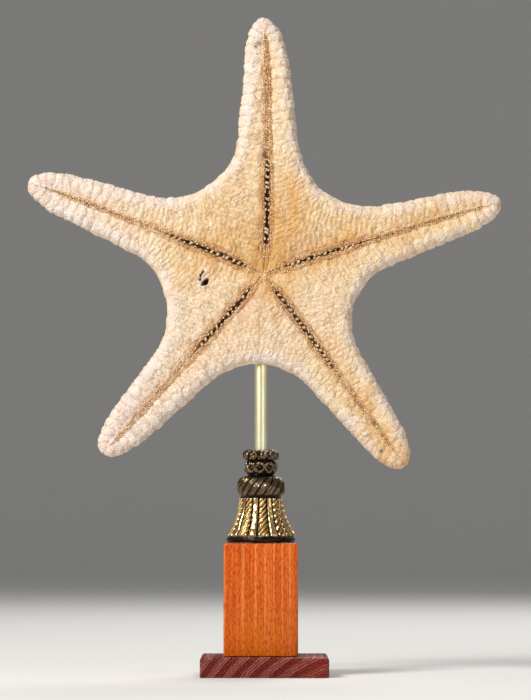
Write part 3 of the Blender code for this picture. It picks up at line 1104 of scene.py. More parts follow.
    def _ring(self, turn: np.ndarray, height: np.ndarray) -> np.ndarray:
        """The relief of the thick ring, laid like a rope of slanting strands.

        Args:
            turn: Each point's angle in degrees.
            height: Its height above the foot, in millimetres.

        Returns:
            How far each point stands out, in millimetres.
        """
        phase = turn * self.strands / 360.0 - (height - 28.5) * 0.16
        lay = np.abs((phase % 1.0) * 2 - 1)
        uneven = 0.85 + 0.15 * np.sin(np.floor(phase) * 2.4)
        fade = smooth_step(height, 23.6, 25.2) * smooth_step(height, 34.0, 32.6)
        fine = 0.16 * np.sin(phase * 2 * math.pi * 3)
        return ((np.sqrt(np.clip(1 - lay**2, 0, 1)) - 0.6) * 1.25 * uneven + fine) * fade

    def _braid(self, turn: np.ndarray, radius: np.ndarray, height: np.ndarray) -> np.ndarray:
        """The relief of the knotted tier: two twisted cords that weave over and under, with a bead in each eye.

        Args:
            turn: Each point's angle in degrees.
            radius: Its distance from the axis, in millimetres.
            height: Its height above the foot, in millimetres.

        Returns:
            How far each point stands out, in millimetres.
        """
        phase = np.radians(turn - self.first_eye) * self.repeats / 2
        total = np.full_like(turn, -0.7)
        for sign in (1, -1):
            level = self.braid_height + sign * self.braid_reach * np.cos(phase)
            slope = self.braid_reach * self.repeats / 2 / self.braid_radius * np.sin(phase)
            far = np.abs(height - level) / np.sqrt(1 + slope**2) / 1.15
            above = 0.35 * sign * np.sin(phase)
            ply = 0.18 * np.sin(2 * math.pi * (np.radians(turn) * self.braid_radius - sign * height * 0.5) / 1.5)
            total = np.maximum(total, np.sqrt(np.clip(1 - far**2, 0, 1)) * 1.5 - 0.7 + above + ply * (far < 1))
        spacing = 2 * math.pi * radius / self.repeats
        beside = (np.radians(turn - self.first_eye + 180 / self.repeats) * radius) % spacing - spacing / 2
        bead = np.hypot(beside, height - self.braid_height) / 0.95
        total = np.maximum(total, np.sqrt(np.clip(1 - bead**2, 0, 1)) * 0.9 - 0.7)
        return total * smooth_step(height, 34.4, 35.2) * smooth_step(height, 42.6, 41.8)

    def _collar(self, turn: np.ndarray, height: np.ndarray, radius: np.ndarray) -> np.ndarray:
        """The relief of the top collar: leaves that lap over the rim, each with a vein.

        Args:
            turn: Each point's angle in degrees.
            height: Its height above the foot, in millimetres.
            radius: Its distance from the axis, in millimetres.

        Returns:
            How far each point stands out, in millimetres.
        """
        phase = ((turn + 8) * self.lobes / 360.0 - (height - 44.6) * 0.07) % 1.0
        off = np.abs(phase * 2 - 1)
        leaf = np.sqrt(np.clip(1 - off**2, 0, 1))
        vein = np.exp(-((np.abs(phase - 0.5) / 0.045) ** 2))
        twist = 0.25 * np.sin(phase * 2 * math.pi * 2 + height * 2.2)
        fade = smooth_step(height, 42.0, 43.2) * smooth_step(radius, 4.2, 6.2)
        return (1.3 * leaf - 0.8 - 0.3 * vein + twist) * fade

    def _chase(self, shell: bpy.types.Object) -> None:
        """Works the relief into the outside of the shell, and marks where it is dark with patina and painted shade and
        where it is worn bright with painted highlights.

        Args:
            shell: The plain shell.
        """
        low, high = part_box("tassel")
        places = points_of(shell)
        normals = normals_of(shell)
        x, y = places[:, 0] - (low.x + high.x) / 2, places[:, 1]
        height = (places[:, 2] - low.z) / MM
        radius = np.hypot(x, y) / MM
        turn = np.degrees(np.arctan2(x, -y))
        skin = np.interp(height, [h for _, h in self.outside], [r for r, _ in self.outside])
        outer = (radius > skin - 1.2) & (radius > 4.0)
        relief = self._skirt(turn, radius, height) + self._ring(turn, height)
        relief += self._braid(turn, radius, height) + self._collar(turn, height, radius)
        relief = np.where(outer, relief, 0.0)
        rough = ripple(places / MM, 1.6, 5) * 0.06 + ripple(places / MM, 5.0, 6) * 0.08
        move_points(shell, places + normals * ((relief + np.where(outer, rough, 0.0)) * MM)[:, None])
        # Painted shade along the joins between the tiers and round the foot ring.
        seams = np.exp(-(((height - 23.3) / 0.6) ** 2)) + np.exp(-(((height - 34.6) / 0.7) ** 2))
        seams += 0.8 * np.exp(-(((height - 42.0) / 0.5) ** 2)) + 0.55 * smooth_step(height, 3.3, 2.4)
        upper = smooth_step(height, 22.0, 25.0)
        foot = smooth_step(height, 3.3, 2.6)
        # Patina with painted shade in the hollows and joins; worn high places with painted highlights.
        store(shell, "patina_and_shade", np.where(outer, 0.5 - relief * 0.85 + seams + 0.08 * upper - 0.35 * foot, 0.9))
        store(shell, "wear_and_highlight", np.where(outer, 0.3 + relief * 0.85 - (0.5 + 0.45 * relief) * upper - 0.1 * foot, 0.0))

    def build(self) -> bpy.types.Object:
        """Casts the tassel.

        Returns:
            The finished piece.
        """
        shell = self._spun()
        self._chase(shell)
        settle(shell, 80)
        return dress(shell, CastBrass().material(), ["tassel"])


# ---------------------------------------------------------------------------------------------------------------
# The starfish
# ---------------------------------------------------------------------------------------------------------------


@dataclass(frozen=True)
class Groove:
    """Where a groove stands open, half its gap's width, in millimetres, and the share of its teeth that meet.

    Beyond the gap, towards the tip, it has how broad its granular band stays, how much painted shade darkens the line
    down its middle and how rusty its grains are, each from 0 to 1.
    """

    opens: float
    closes: float
    half: float
    crossed: float
    broad: float
    seam: float
    grit: float


@dataclass(frozen=True)
class Arm:
    """One arm: its direction in degrees from +X towards +Z, its length and its sideways bow, in millimetres.

    The joints say how boldly the large plates along its edges stand out.
    """

    angle: float
    length: float
    bow: float
    joints: float
    groove: Groove

    @property
    def heading(self) -> np.ndarray:
        """The arm's direction in the starfish's plane."""
        turn = math.radians(self.angle)
        return np.array([math.cos(turn), math.sin(turn)])

    @property
    def aside(self) -> np.ndarray:
        """The direction a quarter turn anticlockwise from the arm's."""
        return np.array([-self.heading[1], self.heading[0]])


@dataclass
class BodyPlan:
    """The starfish's plan in millimetres from its mouth: five arms, the bays between them and the outline."""

    arms: tuple[Arm, ...] = (
        Arm(17.0, 127.2, 0.7, 0.75, Groove(13.0, 58.0, 0.55, 0.3, 0.65, 0.85, 0.65)),
        Arm(90.0, 132.4, -2.2, 0.85, Groove(15.0, 62.0, 0.95, 0.45, 1.0, 0.15, 0.95)),
        Arm(158.6, 129.4, -1.2, 0.9, Groove(11.0, 54.0, 0.9, 0.7, 0.8, 0.75, 0.6)),
        Arm(228.0, 123.5, 0.7, 0.7, Groove(10.0, 55.0, 0.8, 0.5, 0.95, 0.5, 0.6)),
        Arm(306.3, 122.3, 0.5, 0.5, Groove(11.0, 62.0, 0.7, 0.85, 0.8, 0.35, 0.65)),
    )
    bay_radii: tuple[float, ...] = (41.0, 35.0, 33.0, 37.0, 31.0)
    mouth: Vector = field(default_factory=lambda: Vector((-0.7 * MM, -1.5 * MM, 206.1 * MM)))
    half_width_at_mouth: float = 22.1
    half_width_at_tip: float = 9.4
    tip_length: float = 20.0
    fade_angle: float = 20.0

    def __post_init__(self) -> None:
        """Measures the outline once, for the distances to it."""
        self.rim = self._outline()
        self.rim_tree = KDTree(len(self.rim))
        for index, (place, _, _, _) in enumerate(self.rim):
            self.rim_tree.insert((place[0], place[1], 0.0), index)
        self.rim_tree.balance()

    def of_arms(self, index: np.ndarray, read: Callable[[Arm], float]) -> np.ndarray:
        """One of the arms' measures, for every point of the given arms."""
        return np.array([read(arm) for arm in self.arms])[index]

    def half_angle(self, index: int) -> float:
        """Half the angle between an arm and the next one anticlockwise, in degrees."""
        return ((self.arms[(index + 1) % 5].angle - self.arms[index].angle) % 360) / 2

    def taper(self, arm: Arm) -> float:
        """How much an arm's edge leans towards its axis, in radians."""
        return math.atan((self.half_width_at_mouth - self.half_width_at_tip) / arm.length)

    def half_width(self, arm: Arm, along: float) -> float:
        """An arm's half width at a distance from the mouth.

        Args:
            arm: The arm.
            along: The distance along it, in millimetres.

        Returns:
            The half width, in millimetres.
        """
        width = self.half_width_at_mouth
        width += (self.half_width_at_tip - self.half_width_at_mouth) * along / arm.length
        from_tip = arm.length - along
        if from_tip < self.tip_length:
            width *= math.sqrt(max(0.0, 1.0 - (1.0 - from_tip / self.tip_length) ** 2))
        return width

    def _edge(self, index: int, side: int) -> list[tuple[float, float]]:
        """Draws one side of an arm, from the bottom of the bay to the tip.

        Args:
            index: The arm's number.
            side: Which side, -1 or 1.

        Returns:
            Each point's place along and across the arm.
        """
        arm = self.arms[index]
        bay = index if side > 0 else (index - 1) % 5
        half = math.radians(self.half_angle(bay))
        lean = (self.taper(self.arms[bay]) + self.taper(self.arms[(bay + 1) % 5])) / 2
        radius = self.bay_radii[bay]
        out = (radius + self.half_width_at_mouth * math.cos(lean)) / math.sin(half + lean)
        turn = math.pi / 2 - half - self.taper(arm)
        angles = np.linspace(half - math.pi, half - math.pi + turn, 60)
        middle = (out * math.cos(half), out * math.sin(half))
        points = [(middle[0] + radius * math.cos(a), middle[1] + radius * math.sin(a)) for a in angles]
        straight_end = arm.length - self.tip_length
        for along in np.linspace(points[-1][0], straight_end, 120)[1:]:
            points.append((float(along), self.half_width(arm, float(along))))
        for turn in np.linspace(0, math.pi / 2, 60)[1:]:
            along = straight_end + self.tip_length * math.sin(turn)
            points.append((along, self.half_width(arm, along)))
        return [(along, side * across) for along, across in points]

    def _outline(self) -> list[tuple[np.ndarray, int, int, float]]:
        """Draws the whole outline.

        Returns:
            Each point's place, arm, side and distance round from the bay's bottom.
        """
        rim = []
        for index, arm in enumerate(self.arms):
            for side in (-1, 1):
                walked, before = 0.0, None
                for along, across in self._edge(index, side):
                    place = arm.heading * along + arm.aside * across
                    walked += 0.0 if before is None else float(np.linalg.norm(place - before))
                    rim.append((place, index, side, walked))
                    before = place
        return rim

    def bend(self, index: np.ndarray, along: np.ndarray, across: np.ndarray) -> np.ndarray:
        """How far the arms' bow moves points sideways, in millimetres.

        Args:
            index: The arm's number.
            along: The distance along it, in millimetres.
            across: The distance across it.

        Returns:
            The shift of each point.
        """
        lengths = np.array([arm.length for arm in self.arms])[index]
        bows = np.array([arm.bow for arm in self.arms])[index]
        halves = np.array([self.half_angle(i) for i in range(5)])
        limit = np.where(across > 0, halves[index], halves[index - 1])
        from_line = limit - np.degrees(np.abs(np.arctan2(across, np.maximum(along, 1e-9))))
        share = np.minimum(along / lengths, 1.0)
        return bows * (1 - (2 * share - 1) ** 4) * smooth_step(from_line, 0, self.fade_angle)

    def locate(self, places: np.ndarray) -> tuple[np.ndarray, np.ndarray, np.ndarray]:
        """Finds which arm points belong to, and where they are on it once its bow is straightened.

        Args:
            places: Places in the frame, in metres.

        Returns:
            The arm's number, the distance along it and the distance across it, in millimetres.
        """
        x = (places[:, 0] - self.mouth.x) / MM
        z = (places[:, 2] - self.mouth.z) / MM
        turn = np.degrees(np.arctan2(z, x)) % 360
        index = np.zeros(len(places), int)
        for number, arm in enumerate(self.arms):
            after = (turn - arm.angle) % 360
            index[(after <= self.half_angle(number)) | (after >= 360 - self.half_angle(number - 1))] = number
        heading = np.array([arm.heading for arm in self.arms])[index]
        aside = np.array([arm.aside for arm in self.arms])[index]
        flat = np.column_stack([x, z])
        along = (flat * heading).sum(axis=1)
        across = (flat * aside).sum(axis=1)
        across = across - self.bend(index, along, across)
        return index, along, across

    def straight(self, index: np.ndarray, along: np.ndarray, across: np.ndarray) -> np.ndarray:
        """Places in the plane of the straightened starfish, in millimetres from the mouth.

        Args:
            index: The arm's number.
            along: The distance along it, in millimetres.
            across: The distance across it.

        Returns:
            Each place's two numbers.
        """
        heading = np.array([arm.heading for arm in self.arms])[index]
        aside = np.array([arm.aside for arm in self.arms])[index]
        return heading * along[:, None] + aside * across[:, None]

    def inside(self, flat: np.ndarray) -> np.ndarray:
        """The distance from points of the straightened starfish to its outline, in millimetres."""
        find = self.rim_tree.find
        return np.array([find((x, z, 0.0))[2] for x, z in flat])

    def place(self, index: int, along: float, across: float) -> tuple[float, float]:
        """Turns a place on an arm back into x and z in the frame, in metres.

        Args:
            index: The arm's number.
            along: The distance along it, in millimetres.
            across: The distance across it.

        Returns:
            x and z.
        """
        shift = self.bend(np.array([index]), np.array([along]), np.array([across]))[0]
        flat = self.arms[index].heading * along + self.arms[index].aside * (across + shift)
        return self.mouth.x + flat[0] * MM, self.mouth.z + flat[1] * MM


class Plate(Enum):
    """The kinds of plate in the skin, each with its height and the width of its rounded edge, in millimetres."""

    SCALE = (0.58, 1.25)
    MARGIN = (0.62, 1.35)
    NET = (0.6, 1.3)

    @property
    def rise(self) -> float:
        """How high it stands above its joints."""
        return self.value[0]

    @property
    def edge(self) -> float:
        """How wide its rounded edge is."""
        return self.value[1]


@dataclass
class Plating:
    """Every plate of the skin. A long plate has several centres, and its joints lie midway to its neighbours'."""

    plan: BodyPlan
    seed: int = 11
    row_pitch: float = 2.7
    scale_pitch: float = 3.0
    curl: float = 0.016
    ends: float = 0.55
    band: float = 4.2
    net_pitch: float = 4.6

    def __post_init__(self) -> None:
        """Lays all the plates."""
        self.chance = np.random.default_rng(self.seed)
        self.centres: list[tuple[float, float, float]] = []
        self.owner: list[int] = []
        self.kinds: list[Plate] = []
        self.lay_scales()
        self.lay_margin()
        self.lay_net()
        self.tree = KDTree(len(self.centres))
        for index, centre in enumerate(self.centres):
            self.tree.insert(centre, index)
        self.tree.balance()

    def add(self, kind: Plate, centres: Sequence[tuple[float, float, float]]) -> None:
        """Adds one plate with one or more centres, in millimetres from the mouth.

        Args:
            kind: Its kind.
            centres: Its centres.
        """
        for centre in centres:
            self.centres.append(centre)
            self.owner.append(len(self.kinds))
        self.kinds.append(kind)

    def lay_scales(self) -> None:
        """Lays the small plates of the underside, in rows that leave the grooves square and curve to the tips."""
        plan = self.plan
        for index, arm in enumerate(plan.arms):
            for side in (-1, 1):
                half = math.radians(plan.half_angle(index if side > 0 else index - 1))
                for number, start in enumerate(np.arange(-6.0, arm.length - 12.0, self.row_pitch)):
                    across = self.band + 0.8 + (number % 2) * 0.4 * self.scale_pitch
                    finger: list[tuple[float, float, float]] = []
                    while across < 45.0:
                        here = start + self.curl * across**2 + self.chance.normal(0, 0.25)
                        there = across + self.chance.normal(0, 0.25)
                        across += self.scale_pitch / 2
                        flat = arm.heading * here + arm.aside * side * there
                        margin = 4.4 + 3.4 * float(smooth_step(np.array(here), 48, 80))
                        if here < 2.5 or there > here * math.tan(half) - 0.5 or plan.inside(flat[None])[0] < margin:
                            continue
                        finger.append((flat[0], -6.6, flat[1]))
                        if len(finger) >= 2 and self.chance.random() < self.ends:
                            self.add(Plate.SCALE, finger)
                            finger = []
                    if finger:
                        self.add(Plate.SCALE, finger)

    def lay_margin(self) -> None:
        """Lays the large plates along the outline, one row on the underside and one on the back."""
        plan = self.plan
        for index, arm in enumerate(plan.arms):
            for side in (-1, 1):
                rim = [point for point in plan.rim if point[1] == index and point[2] == side]
                walk = np.array([point[3] for point in rim])
                spots = np.array([point[0] for point in rim])
                at = 1.6
                while at < walk[-1] - 1.0:
                    spot = np.array([np.interp(at, walk, spots[:, 0]), np.interp(at, walk, spots[:, 1])])
                    ahead = np.array([np.interp(at + 0.5, walk, spots[:, 0]), np.interp(at + 0.5, walk, spots[:, 1])])
                    way = (ahead - spot) / np.linalg.norm(ahead - spot)
                    inward = np.array([way[1], -way[0]]) * side
                    along = float(spot @ arm.heading)
                    thin = 1.0 - 0.36 * max(0.0, (along / arm.length - 0.35) / 0.65) ** 1.5
                    far = float(smooth_step(np.array(along), 55, 85))
                    lean = self.chance.normal(0, 0.25)
                    front = [(0.2, -2.2), (2.2, -5.6), (4.0 + 0.5 * far, -6.6)]
                    front += [(6.4, -6.6)] if far > 0.3 and arm.length - along > 12 else []
                    back = [(0.4, 4.6), (2.2, 7.8), (4.4, 9.4)]
                    for places in (front, back):
                        centres = []
                        for deep, level in places:
                            flat = spot + inward * deep + way * lean * deep * 0.15
                            centres.append((flat[0], level * thin, flat[1]))
                        self.add(Plate.MARGIN, centres)
                    share = at / walk[-1]
                    at += (4.4 + 1.5 * float(smooth_step(np.array(share), 0.1, 0.45))) * (1 - 0.35 * share**3)

    def lay_net(self) -> None:
        """Lays the network of the back, on a loose triangular grid."""
        plan = self.plan
        reach = 135.0
        for row, z in enumerate(np.arange(-reach, reach, self.net_pitch * 0.87)):
            for x in np.arange(-reach, reach, self.net_pitch):
                flat = np.array([x + (row % 2) * self.net_pitch / 2, z]) + self.chance.normal(0, 0.75, 2)
                place = np.array([[plan.mouth.x + flat[0] * MM, 0, plan.mouth.z + flat[1] * MM]])
                index, along, across = plan.locate(place)
                straight = plan.straight(index, along, across)
                if plan.inside(straight)[0] < 5.6 or self._outside(index[0], along[0], across[0]):
                    continue
                self.add(Plate.NET, [(straight[0][0], 9.5, straight[0][1])])

    def _outside(self, index: int, along: float, across: float) -> bool:
        """Tells whether a place on an arm is beyond the starfish's outline.

        Args:
            index: The arm's number.
            along: The distance along it, in millimetres.
            across: The distance across it.

        Returns:
            Whether it is.
        """
        flat = self.plan.arms[index].heading * along + self.plan.arms[index].aside * across
        near = self.plan.rim_tree.find((flat[0], flat[1], 0.0))[1]
        return bool(np.linalg.norm(flat) > np.linalg.norm(self.plan.rim[near][0]))

    def read(self, points: np.ndarray) -> tuple[np.ndarray, np.ndarray, np.ndarray]:
        """Finds the plate at each point.

        Args:
            points: Places of the straightened starfish in millimetres: across, depth and up.

        Returns:
            The plate's number, its kind as a number, and the distance to its nearest joint, in millimetres.
        """
        owner = np.array(self.owner)
        centres = np.array(self.centres)
        find = self.tree.find_n
        near = np.array([[hit[1] for hit in find(point, 7)] for point in points])
        first = near[:, 0]
        mine = owner[first]
        joint = np.full(len(points), 9.0)
        to_first = ((points - centres[first]) ** 2).sum(axis=1)
        for rank in range(1, near.shape[1]):
            other = near[:, rank]
            gap = np.maximum(np.linalg.norm(centres[other] - centres[first], axis=1), 1e-6)
            away = (((points - centres[other]) ** 2).sum(axis=1) - to_first) / (2 * gap)
            joint = np.where(owner[other] != mine, np.minimum(joint, away), joint)
        kinds = np.array([list(Plate).index(kind) for kind in self.kinds])[mine]
        return mine, kinds, joint


@dataclass(frozen=True)
class Blemish:
    """A mark on the underside: its place from the mouth and its radius, in millimetres."""

    x: float
    z: float
    radius: float

    def distance(self, flat: np.ndarray) -> np.ndarray:
        """How far points are outside it, in millimetres."""
        return np.hypot(flat[:, 0] - self.x, flat[:, 1] - self.z) - self.radius


@dataclass(frozen=True)
class Spine:
    """A small spine: its arm, its place, radius, height and lean towards the groove, in millimetres, and its tone."""

    arm: int
    along: float
    across: float
    radius: float
    height: float
    lean: float
    tone: float


@dataclass
class Starfish:
    """The dried animal: its plated body and the small spines along its grooves."""

    plan: BodyPlan = field(default_factory=BodyPlan)
    voxel: float = 0.5 * MM
    back_kept: float = 0.22
    front_kept: float = 0.5
    tooth_pitch: float = 2.95
    bead_pitch: float = 1.08
    first_row: float = 0.38
    row_gap: float = 0.92
    holes: tuple[Blemish, ...] = (
        Blemish(-29.6, -4.3, 1.45),
        Blemish(-28.7, -3.2, 0.8),
        Blemish(-31.1, -5.3, 0.8),
        Blemish(-30.7, 1.1, 0.3),
        Blemish(-31.4, 0.4, 0.38),
        Blemish(-31.9, -0.6, 0.42),
        Blemish(-32.1, -1.6, 0.35),
        Blemish(-32.6, -2.9, 0.5),
    )
    stains: tuple[Blemish, ...] = (
        Blemish(-4.0, 117.4, 0.7),
        Blemish(-2.6, 119.4, 1.0),
        Blemish(-4.5, 111.8, 0.4),
        Blemish(-5.5, 107.2, 0.3),
        Blemish(60.8, -91.0, 1.0),
    )
    scorch: Blemish = Blemish(0.9, 61.3, 2.0)
    bead: Blemish = Blemish(52.5, -82.2, 1.5)
    rod_clearance: float = 4.3
    bore_gap: float = 0.3
    smoothing_passes: int = 14
    peg_sink: float = 0.18
    ray_start: float = -0.05

    def build(self) -> list[bpy.types.Object]:
        """Makes the body and its spines.

        Returns:
            The finished pieces.
        """
        body = self._smooth_body()
        self._sculpt(body)
        self._thin_out(body)
        choose(body)
        bpy.ops.object.shade_smooth()
        dress(body, StarfishSkin().material(), ["starfish"])
        spines = self._spines(body)
        return [body, dress(spines, GrooveSpines().material())]

    def _smooth_body(self) -> bpy.types.Object:
        """Copies the solid, remeshes it finely and evenly, and smooths its facets away.

        Returns:
            The plain body.
        """
        body = node_copy("starfish", "starfish_body")
        apply_modifier(body, "REMESH", mode="VOXEL", voxel_size=self.voxel, adaptivity=0.0)
        apply_modifier(body, "SMOOTH", factor=0.5, iterations=self.smoothing_passes)
        return body

    def _sculpt(self, body: bpy.types.Object) -> None:
        """Moves the skin into its plates, furrows, knobs and blemishes, and stores what colours them.

        Args:
            body: The plain body.
        """
        plan = self.plan
        places, normals = points_of(body), normals_of(body)
        index, along, across = plan.locate(places)
        lengths = np.array([arm.length for arm in plan.arms])[index]
        straight = plan.straight(index, along, across)
        flat = np.column_stack([(places[:, 0] - plan.mouth.x) / MM, (places[:, 2] - plan.mouth.z) / MM])
        level = (places[:, 1] - plan.mouth.y) / MM
        inside = plan.inside(straight)
        front = smooth_step(-normals[:, 1], 0.05, 0.5)
        back = smooth_step(normals[:, 1], 0.1, 0.45)
        space = places / MM
        warp = np.column_stack([ripple(space, 3.4, seed) for seed in (21, 22, 23)]) * 0.33
        spot = np.column_stack([straight[:, 0], np.clip(level, -6.6, 9.5), straight[:, 1]]) + warp
        plating = Plating(plan)
        owner, kinds, joint = plating.read(spot)
        chance = np.random.default_rng(3)
        own = chance.normal(0, 1, len(plating.kinds))[owner]
        rises = np.array([kind.rise for kind in Plate])[kinds]
        edges = np.array([kind.edge for kind in Plate])[kinds]
        side = np.abs(across)
        band_half = self.band_half(index, along) + 0.15 * ripple(space, 3.2, 33) + 0.1 * ripple(space, 1.3, 34)
        gap_half = plan.of_arms(index, lambda arm: arm.groove.half) - 0.3 * smooth_step(along, 34, 56)
        gap_half = gap_half + 0.22 * ripple(space, 1.8, 35)
        opened = self.opened(index, along)
        ends = smooth_step(along, lengths - 7, lengths - 10)
        in_band = front * smooth_step(side, band_half + 0.5, band_half - 0.3) * ends
        margin = kinds == 1
        on_arm = smooth_step(along, 45, 80)
        joints = plan.of_arms(index, lambda arm: arm.joints)
        calm = 1 - front * smooth_step(np.hypot(flat[:, 0], flat[:, 1]), 14, 5)
        lower = 1 - 0.25 * front * smooth_step(flat[:, 1], 10, -10) * (1 - on_arm)
        rises = np.where(margin, rises * joints * (0.4 + 0.6 * on_arm), rises * (1.0 + 0.15 * own) * lower)
        dome = 1 - (1 - np.clip(joint / edges, 0, 1)) ** 2
        plates = rises * (dome - 0.6) * (1 - in_band) * (0.2 + 0.8 * calm)
        shift = plates + 0.06 * own * (1 - in_band) * calm
        shift += 0.10 * ripple(space, 1.5, 31) + 0.16 * ripple(space, 4.5, 32) + 0.05 * ripple(space, 1.0, 36)
        shift += 0.9 * smooth_step(along, lengths - 13, lengths - 3)
        knobs = self._knobs(index, along, across)
        shift += knobs * back
        hole = np.min([mark.distance(flat) for mark in self.holes], axis=0) + 0.12 * ripple(space, 1.0, 41)
        opening = smooth_step(hole, 0.35, -0.35) * front
        shift -= 3.0 * opening
        shift += 0.35 * np.exp(-(((hole - 0.8) / 0.5) ** 2)) * front
        bead = self.bead.distance(flat)
        shift += 1.1 * smooth_step(bead, 0.2, -1.0) * front
        rod_low, rod_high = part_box("rod")
        from_rod = np.hypot(places[:, 0] - (rod_low.x + rod_high.x) / 2, places[:, 1]) / MM
        near_rod = (places[:, 2] < rod_high.z + MM) & (flat[:, 1] > -60) & (level > -5)
        shift *= np.where(near_rod, smooth_step(from_rod, 3.6, self.rod_clearance), 1.0)
        lift = self._furrow(along, side, inside, ends, band_half, gap_half, opened) * front
        moved = places + normals * (shift * MM)[:, None]
        moved[:, 1] -= lift * MM
        move_points(body, self._clear_bore(moved))
        self._colour(
            body, index=index, along=along, side=side, inside=inside, front=front, back=back, flat=flat,
            joint=joint, own=own, margin=margin, band=in_band, band_half=band_half, hole=hole, opening=opening,
            bead=bead, space=space, ends=ends, knobs=knobs, gap_half=gap_half, opened=opened, calm=calm, joints=joints,
        )

    def _clear_bore(self, places: np.ndarray) -> np.ndarray:
        """Keeps the wall and the blind end of the rod's hole off the rod.

        Args:
            places: The body's points, in metres.

        Returns:
            The same points, with those that stood in the rod's way moved back.
        """
        low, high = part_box("rod")
        middle = np.array([(low.x + high.x) / 2, (low.y + high.y) / 2])
        away = places[:, :2] - middle
        far = np.maximum(np.linalg.norm(away, axis=1), 1e-6)
        wall = (high.x - low.x) / 2 + self.bore_gap * MM
        in_way = (far < wall) & (places[:, 2] < high.z + self.bore_gap * MM)
        at_end = in_way & (places[:, 2] > high.z - 1.5 * MM) & (far < wall - 0.5 * MM)
        cleared = places.copy()
        cleared[at_end, 2] = high.z + self.bore_gap * MM
        at_wall = in_way & ~at_end
        cleared[at_wall, :2] = middle + away[at_wall] * (wall / far[at_wall])[:, None]
        return cleared

    def band_half(self, index: np.ndarray, along: np.ndarray) -> np.ndarray:
        """Half the width of the granular band along a groove: narrow at the mouth and again towards the tip.

        Args:
            index: The arm's number.
            along: The distance along it, in millimetres.

        Returns:
            Half the width, in millimetres.
        """
        lengths = self.plan.of_arms(index, lambda arm: arm.length)
        broad = self.plan.of_arms(index, lambda arm: arm.groove.broad)
        width = 1.6 + 1.7 * smooth_step(along, 3, 12) - 1.1 * smooth_step(along, 44, 84)
        width = width * (1 - (1 - broad) * smooth_step(along, 40, 62))
        return width * (0.45 + 0.55 * smooth_step(lengths - along, 6, 30))

    def opened(self, index: np.ndarray, along: np.ndarray) -> np.ndarray:
        """How far a groove stands open, from 0 to 1.

        Args:
            index: The arm's number.
            along: The distance along it, in millimetres.

        Returns:
            The share.
        """
        opens = self.plan.of_arms(index, lambda arm: arm.groove.opens)
        closes = self.plan.of_arms(index, lambda arm: arm.groove.closes)
        return smooth_step(along, opens - 2.5, opens + 2) * smooth_step(along, closes + 6, closes - 12)

    def _furrow(
        self, along: np.ndarray, side: np.ndarray, inside: np.ndarray, ends: np.ndarray, band_half: np.ndarray,
        gap_half: np.ndarray, opened: np.ndarray,
    ) -> np.ndarray:
        """Raises the banks of the grooves out of the plain channel, and sinks their slits.

        Args:
            along: The distance along it, in millimetres.
            side: The distance from the groove's middle.
            inside: The distance to the outline.
            ends: How much of a groove there is, 0 to 1.
            band_half: Half the granular band's width.
            gap_half: Half the gap's width.
            opened: How far the groove stands open, 0 to 1.

        Returns:
            The rise at each point, in millimetres.
        """
        channel = 2.2 * np.minimum(1, inside / 6.5) * np.exp(-((side / 1.5) ** 2))
        pit = 2.5 * np.exp(-((along / 2.5) ** 2))
        slit = smooth_step(side, gap_half + 0.3, gap_half - 0.15)
        line = smooth_step(side, 0.45, 0.1)
        lift = (channel + pit) * (0.9 - 0.1 * ends)
        lift -= (1.9 * opened * slit + (0.3 - 0.1 * smooth_step(along, 30, 50)) * (1 - opened) * line) * ends
        lift += 0.35 * np.exp(-(((side - band_half * 0.6) / 1.0) ** 2)) * ends
        return lift - 0.3 * np.exp(-(((side - band_half - 0.15) / 0.5) ** 2)) * ends * smooth_step(along, 3, 8)

    def _knobs(self, index: np.ndarray, along: np.ndarray, across: np.ndarray) -> np.ndarray:
        """The heights of the blunt knobs along each arm's ridge and round the top of the back.

        Args:
            index: The arm's number.
            along: The distance along it, in millimetres.
            across: The distance across it.

        Returns:
            The height at each point, in millimetres.
        """
        heights = np.zeros(len(along))
        rows = [(0.0, 20.0, 4.6, 4.2), (0.0, 34.0, 3.2, 3.4), (0.0, 45.0, 2.4, 3.0), (0.0, 55.5, 2.2, 2.8)]
        rows += [(0.0, at, 1.9, 2.4) for at in (65.0, 74.0, 82.5, 90.5, 98.0, 105.0)]
        rows += [(sign * 9.0, at, 1.1, 2.2) for sign in (-1, 1) for at in (30.0, 40.0)]
        for aside, at, high, wide in rows:
            far = np.hypot(across - aside, along - at - 0.6 * index)
            heights = np.maximum(heights, high * np.exp(-((far / wide) ** 2) * 1.2))
        return heights

    def _colour(self, body: bpy.types.Object, **at: np.ndarray) -> None:
        """Stores, for every vertex, how much of each colour its skin has.

        Args:
            body: The body.
            **at: What is known of each vertex, as worked out while sculpting.
        """
        space, front, flat = at["space"], at["front"], at["flat"]
        x, z = flat[:, 0], flat[:, 1]
        out = np.hypot(x, z)
        turn = np.degrees(np.arctan2(z, x))
        near = smooth_step(out, 68, 8)
        turned = 0.62 * np.exp(-(((turn - 50) / 38) ** 2)) + 0.4 * np.exp(-(((turn - 122) / 32) ** 2))
        warm = near * (0.16 + 0.45 + (turned - 0.45) * smooth_step(out, 2, 26))
        beyond = (at["side"] - at["band_half"]) / 3.2
        warm += 0.3 * np.exp(-(beyond**2)) * (0.8 + 0.2 * smooth_step(at["along"], 70, 20)) * at["ends"]
        warm += 0.16 * smooth_step(x, 10, 80)
        warm += 0.4 * smooth_step(x, 40, 62) * smooth_step(z, -74, -96)
        warm += 0.12 * ripple(space, 16, 51) + 0.08 * ripple(space, 5, 52)
        store(body, "ochre", np.minimum(warm, 0.8) * front + (0.3 + 0.12 * ripple(space, 16, 51)) * (1 - front))
        pale = smooth_step(at["inside"], 9, 2.5) * (0.6 + 0.2 * ripple(space, 7, 53)) * (1 - 0.7 * at["back"])
        pale += 0.6 * smooth_step(out, 30, 100) * smooth_step(x, 30, -30) * front
        pale += 0.35 * smooth_step(out, 80, 120) * smooth_step(x, -40, -80) * front
        pale += 0.2 * smooth_step(out, 25, 70) * smooth_step(x, 0, -40) * smooth_step(z, 5, -30) * front
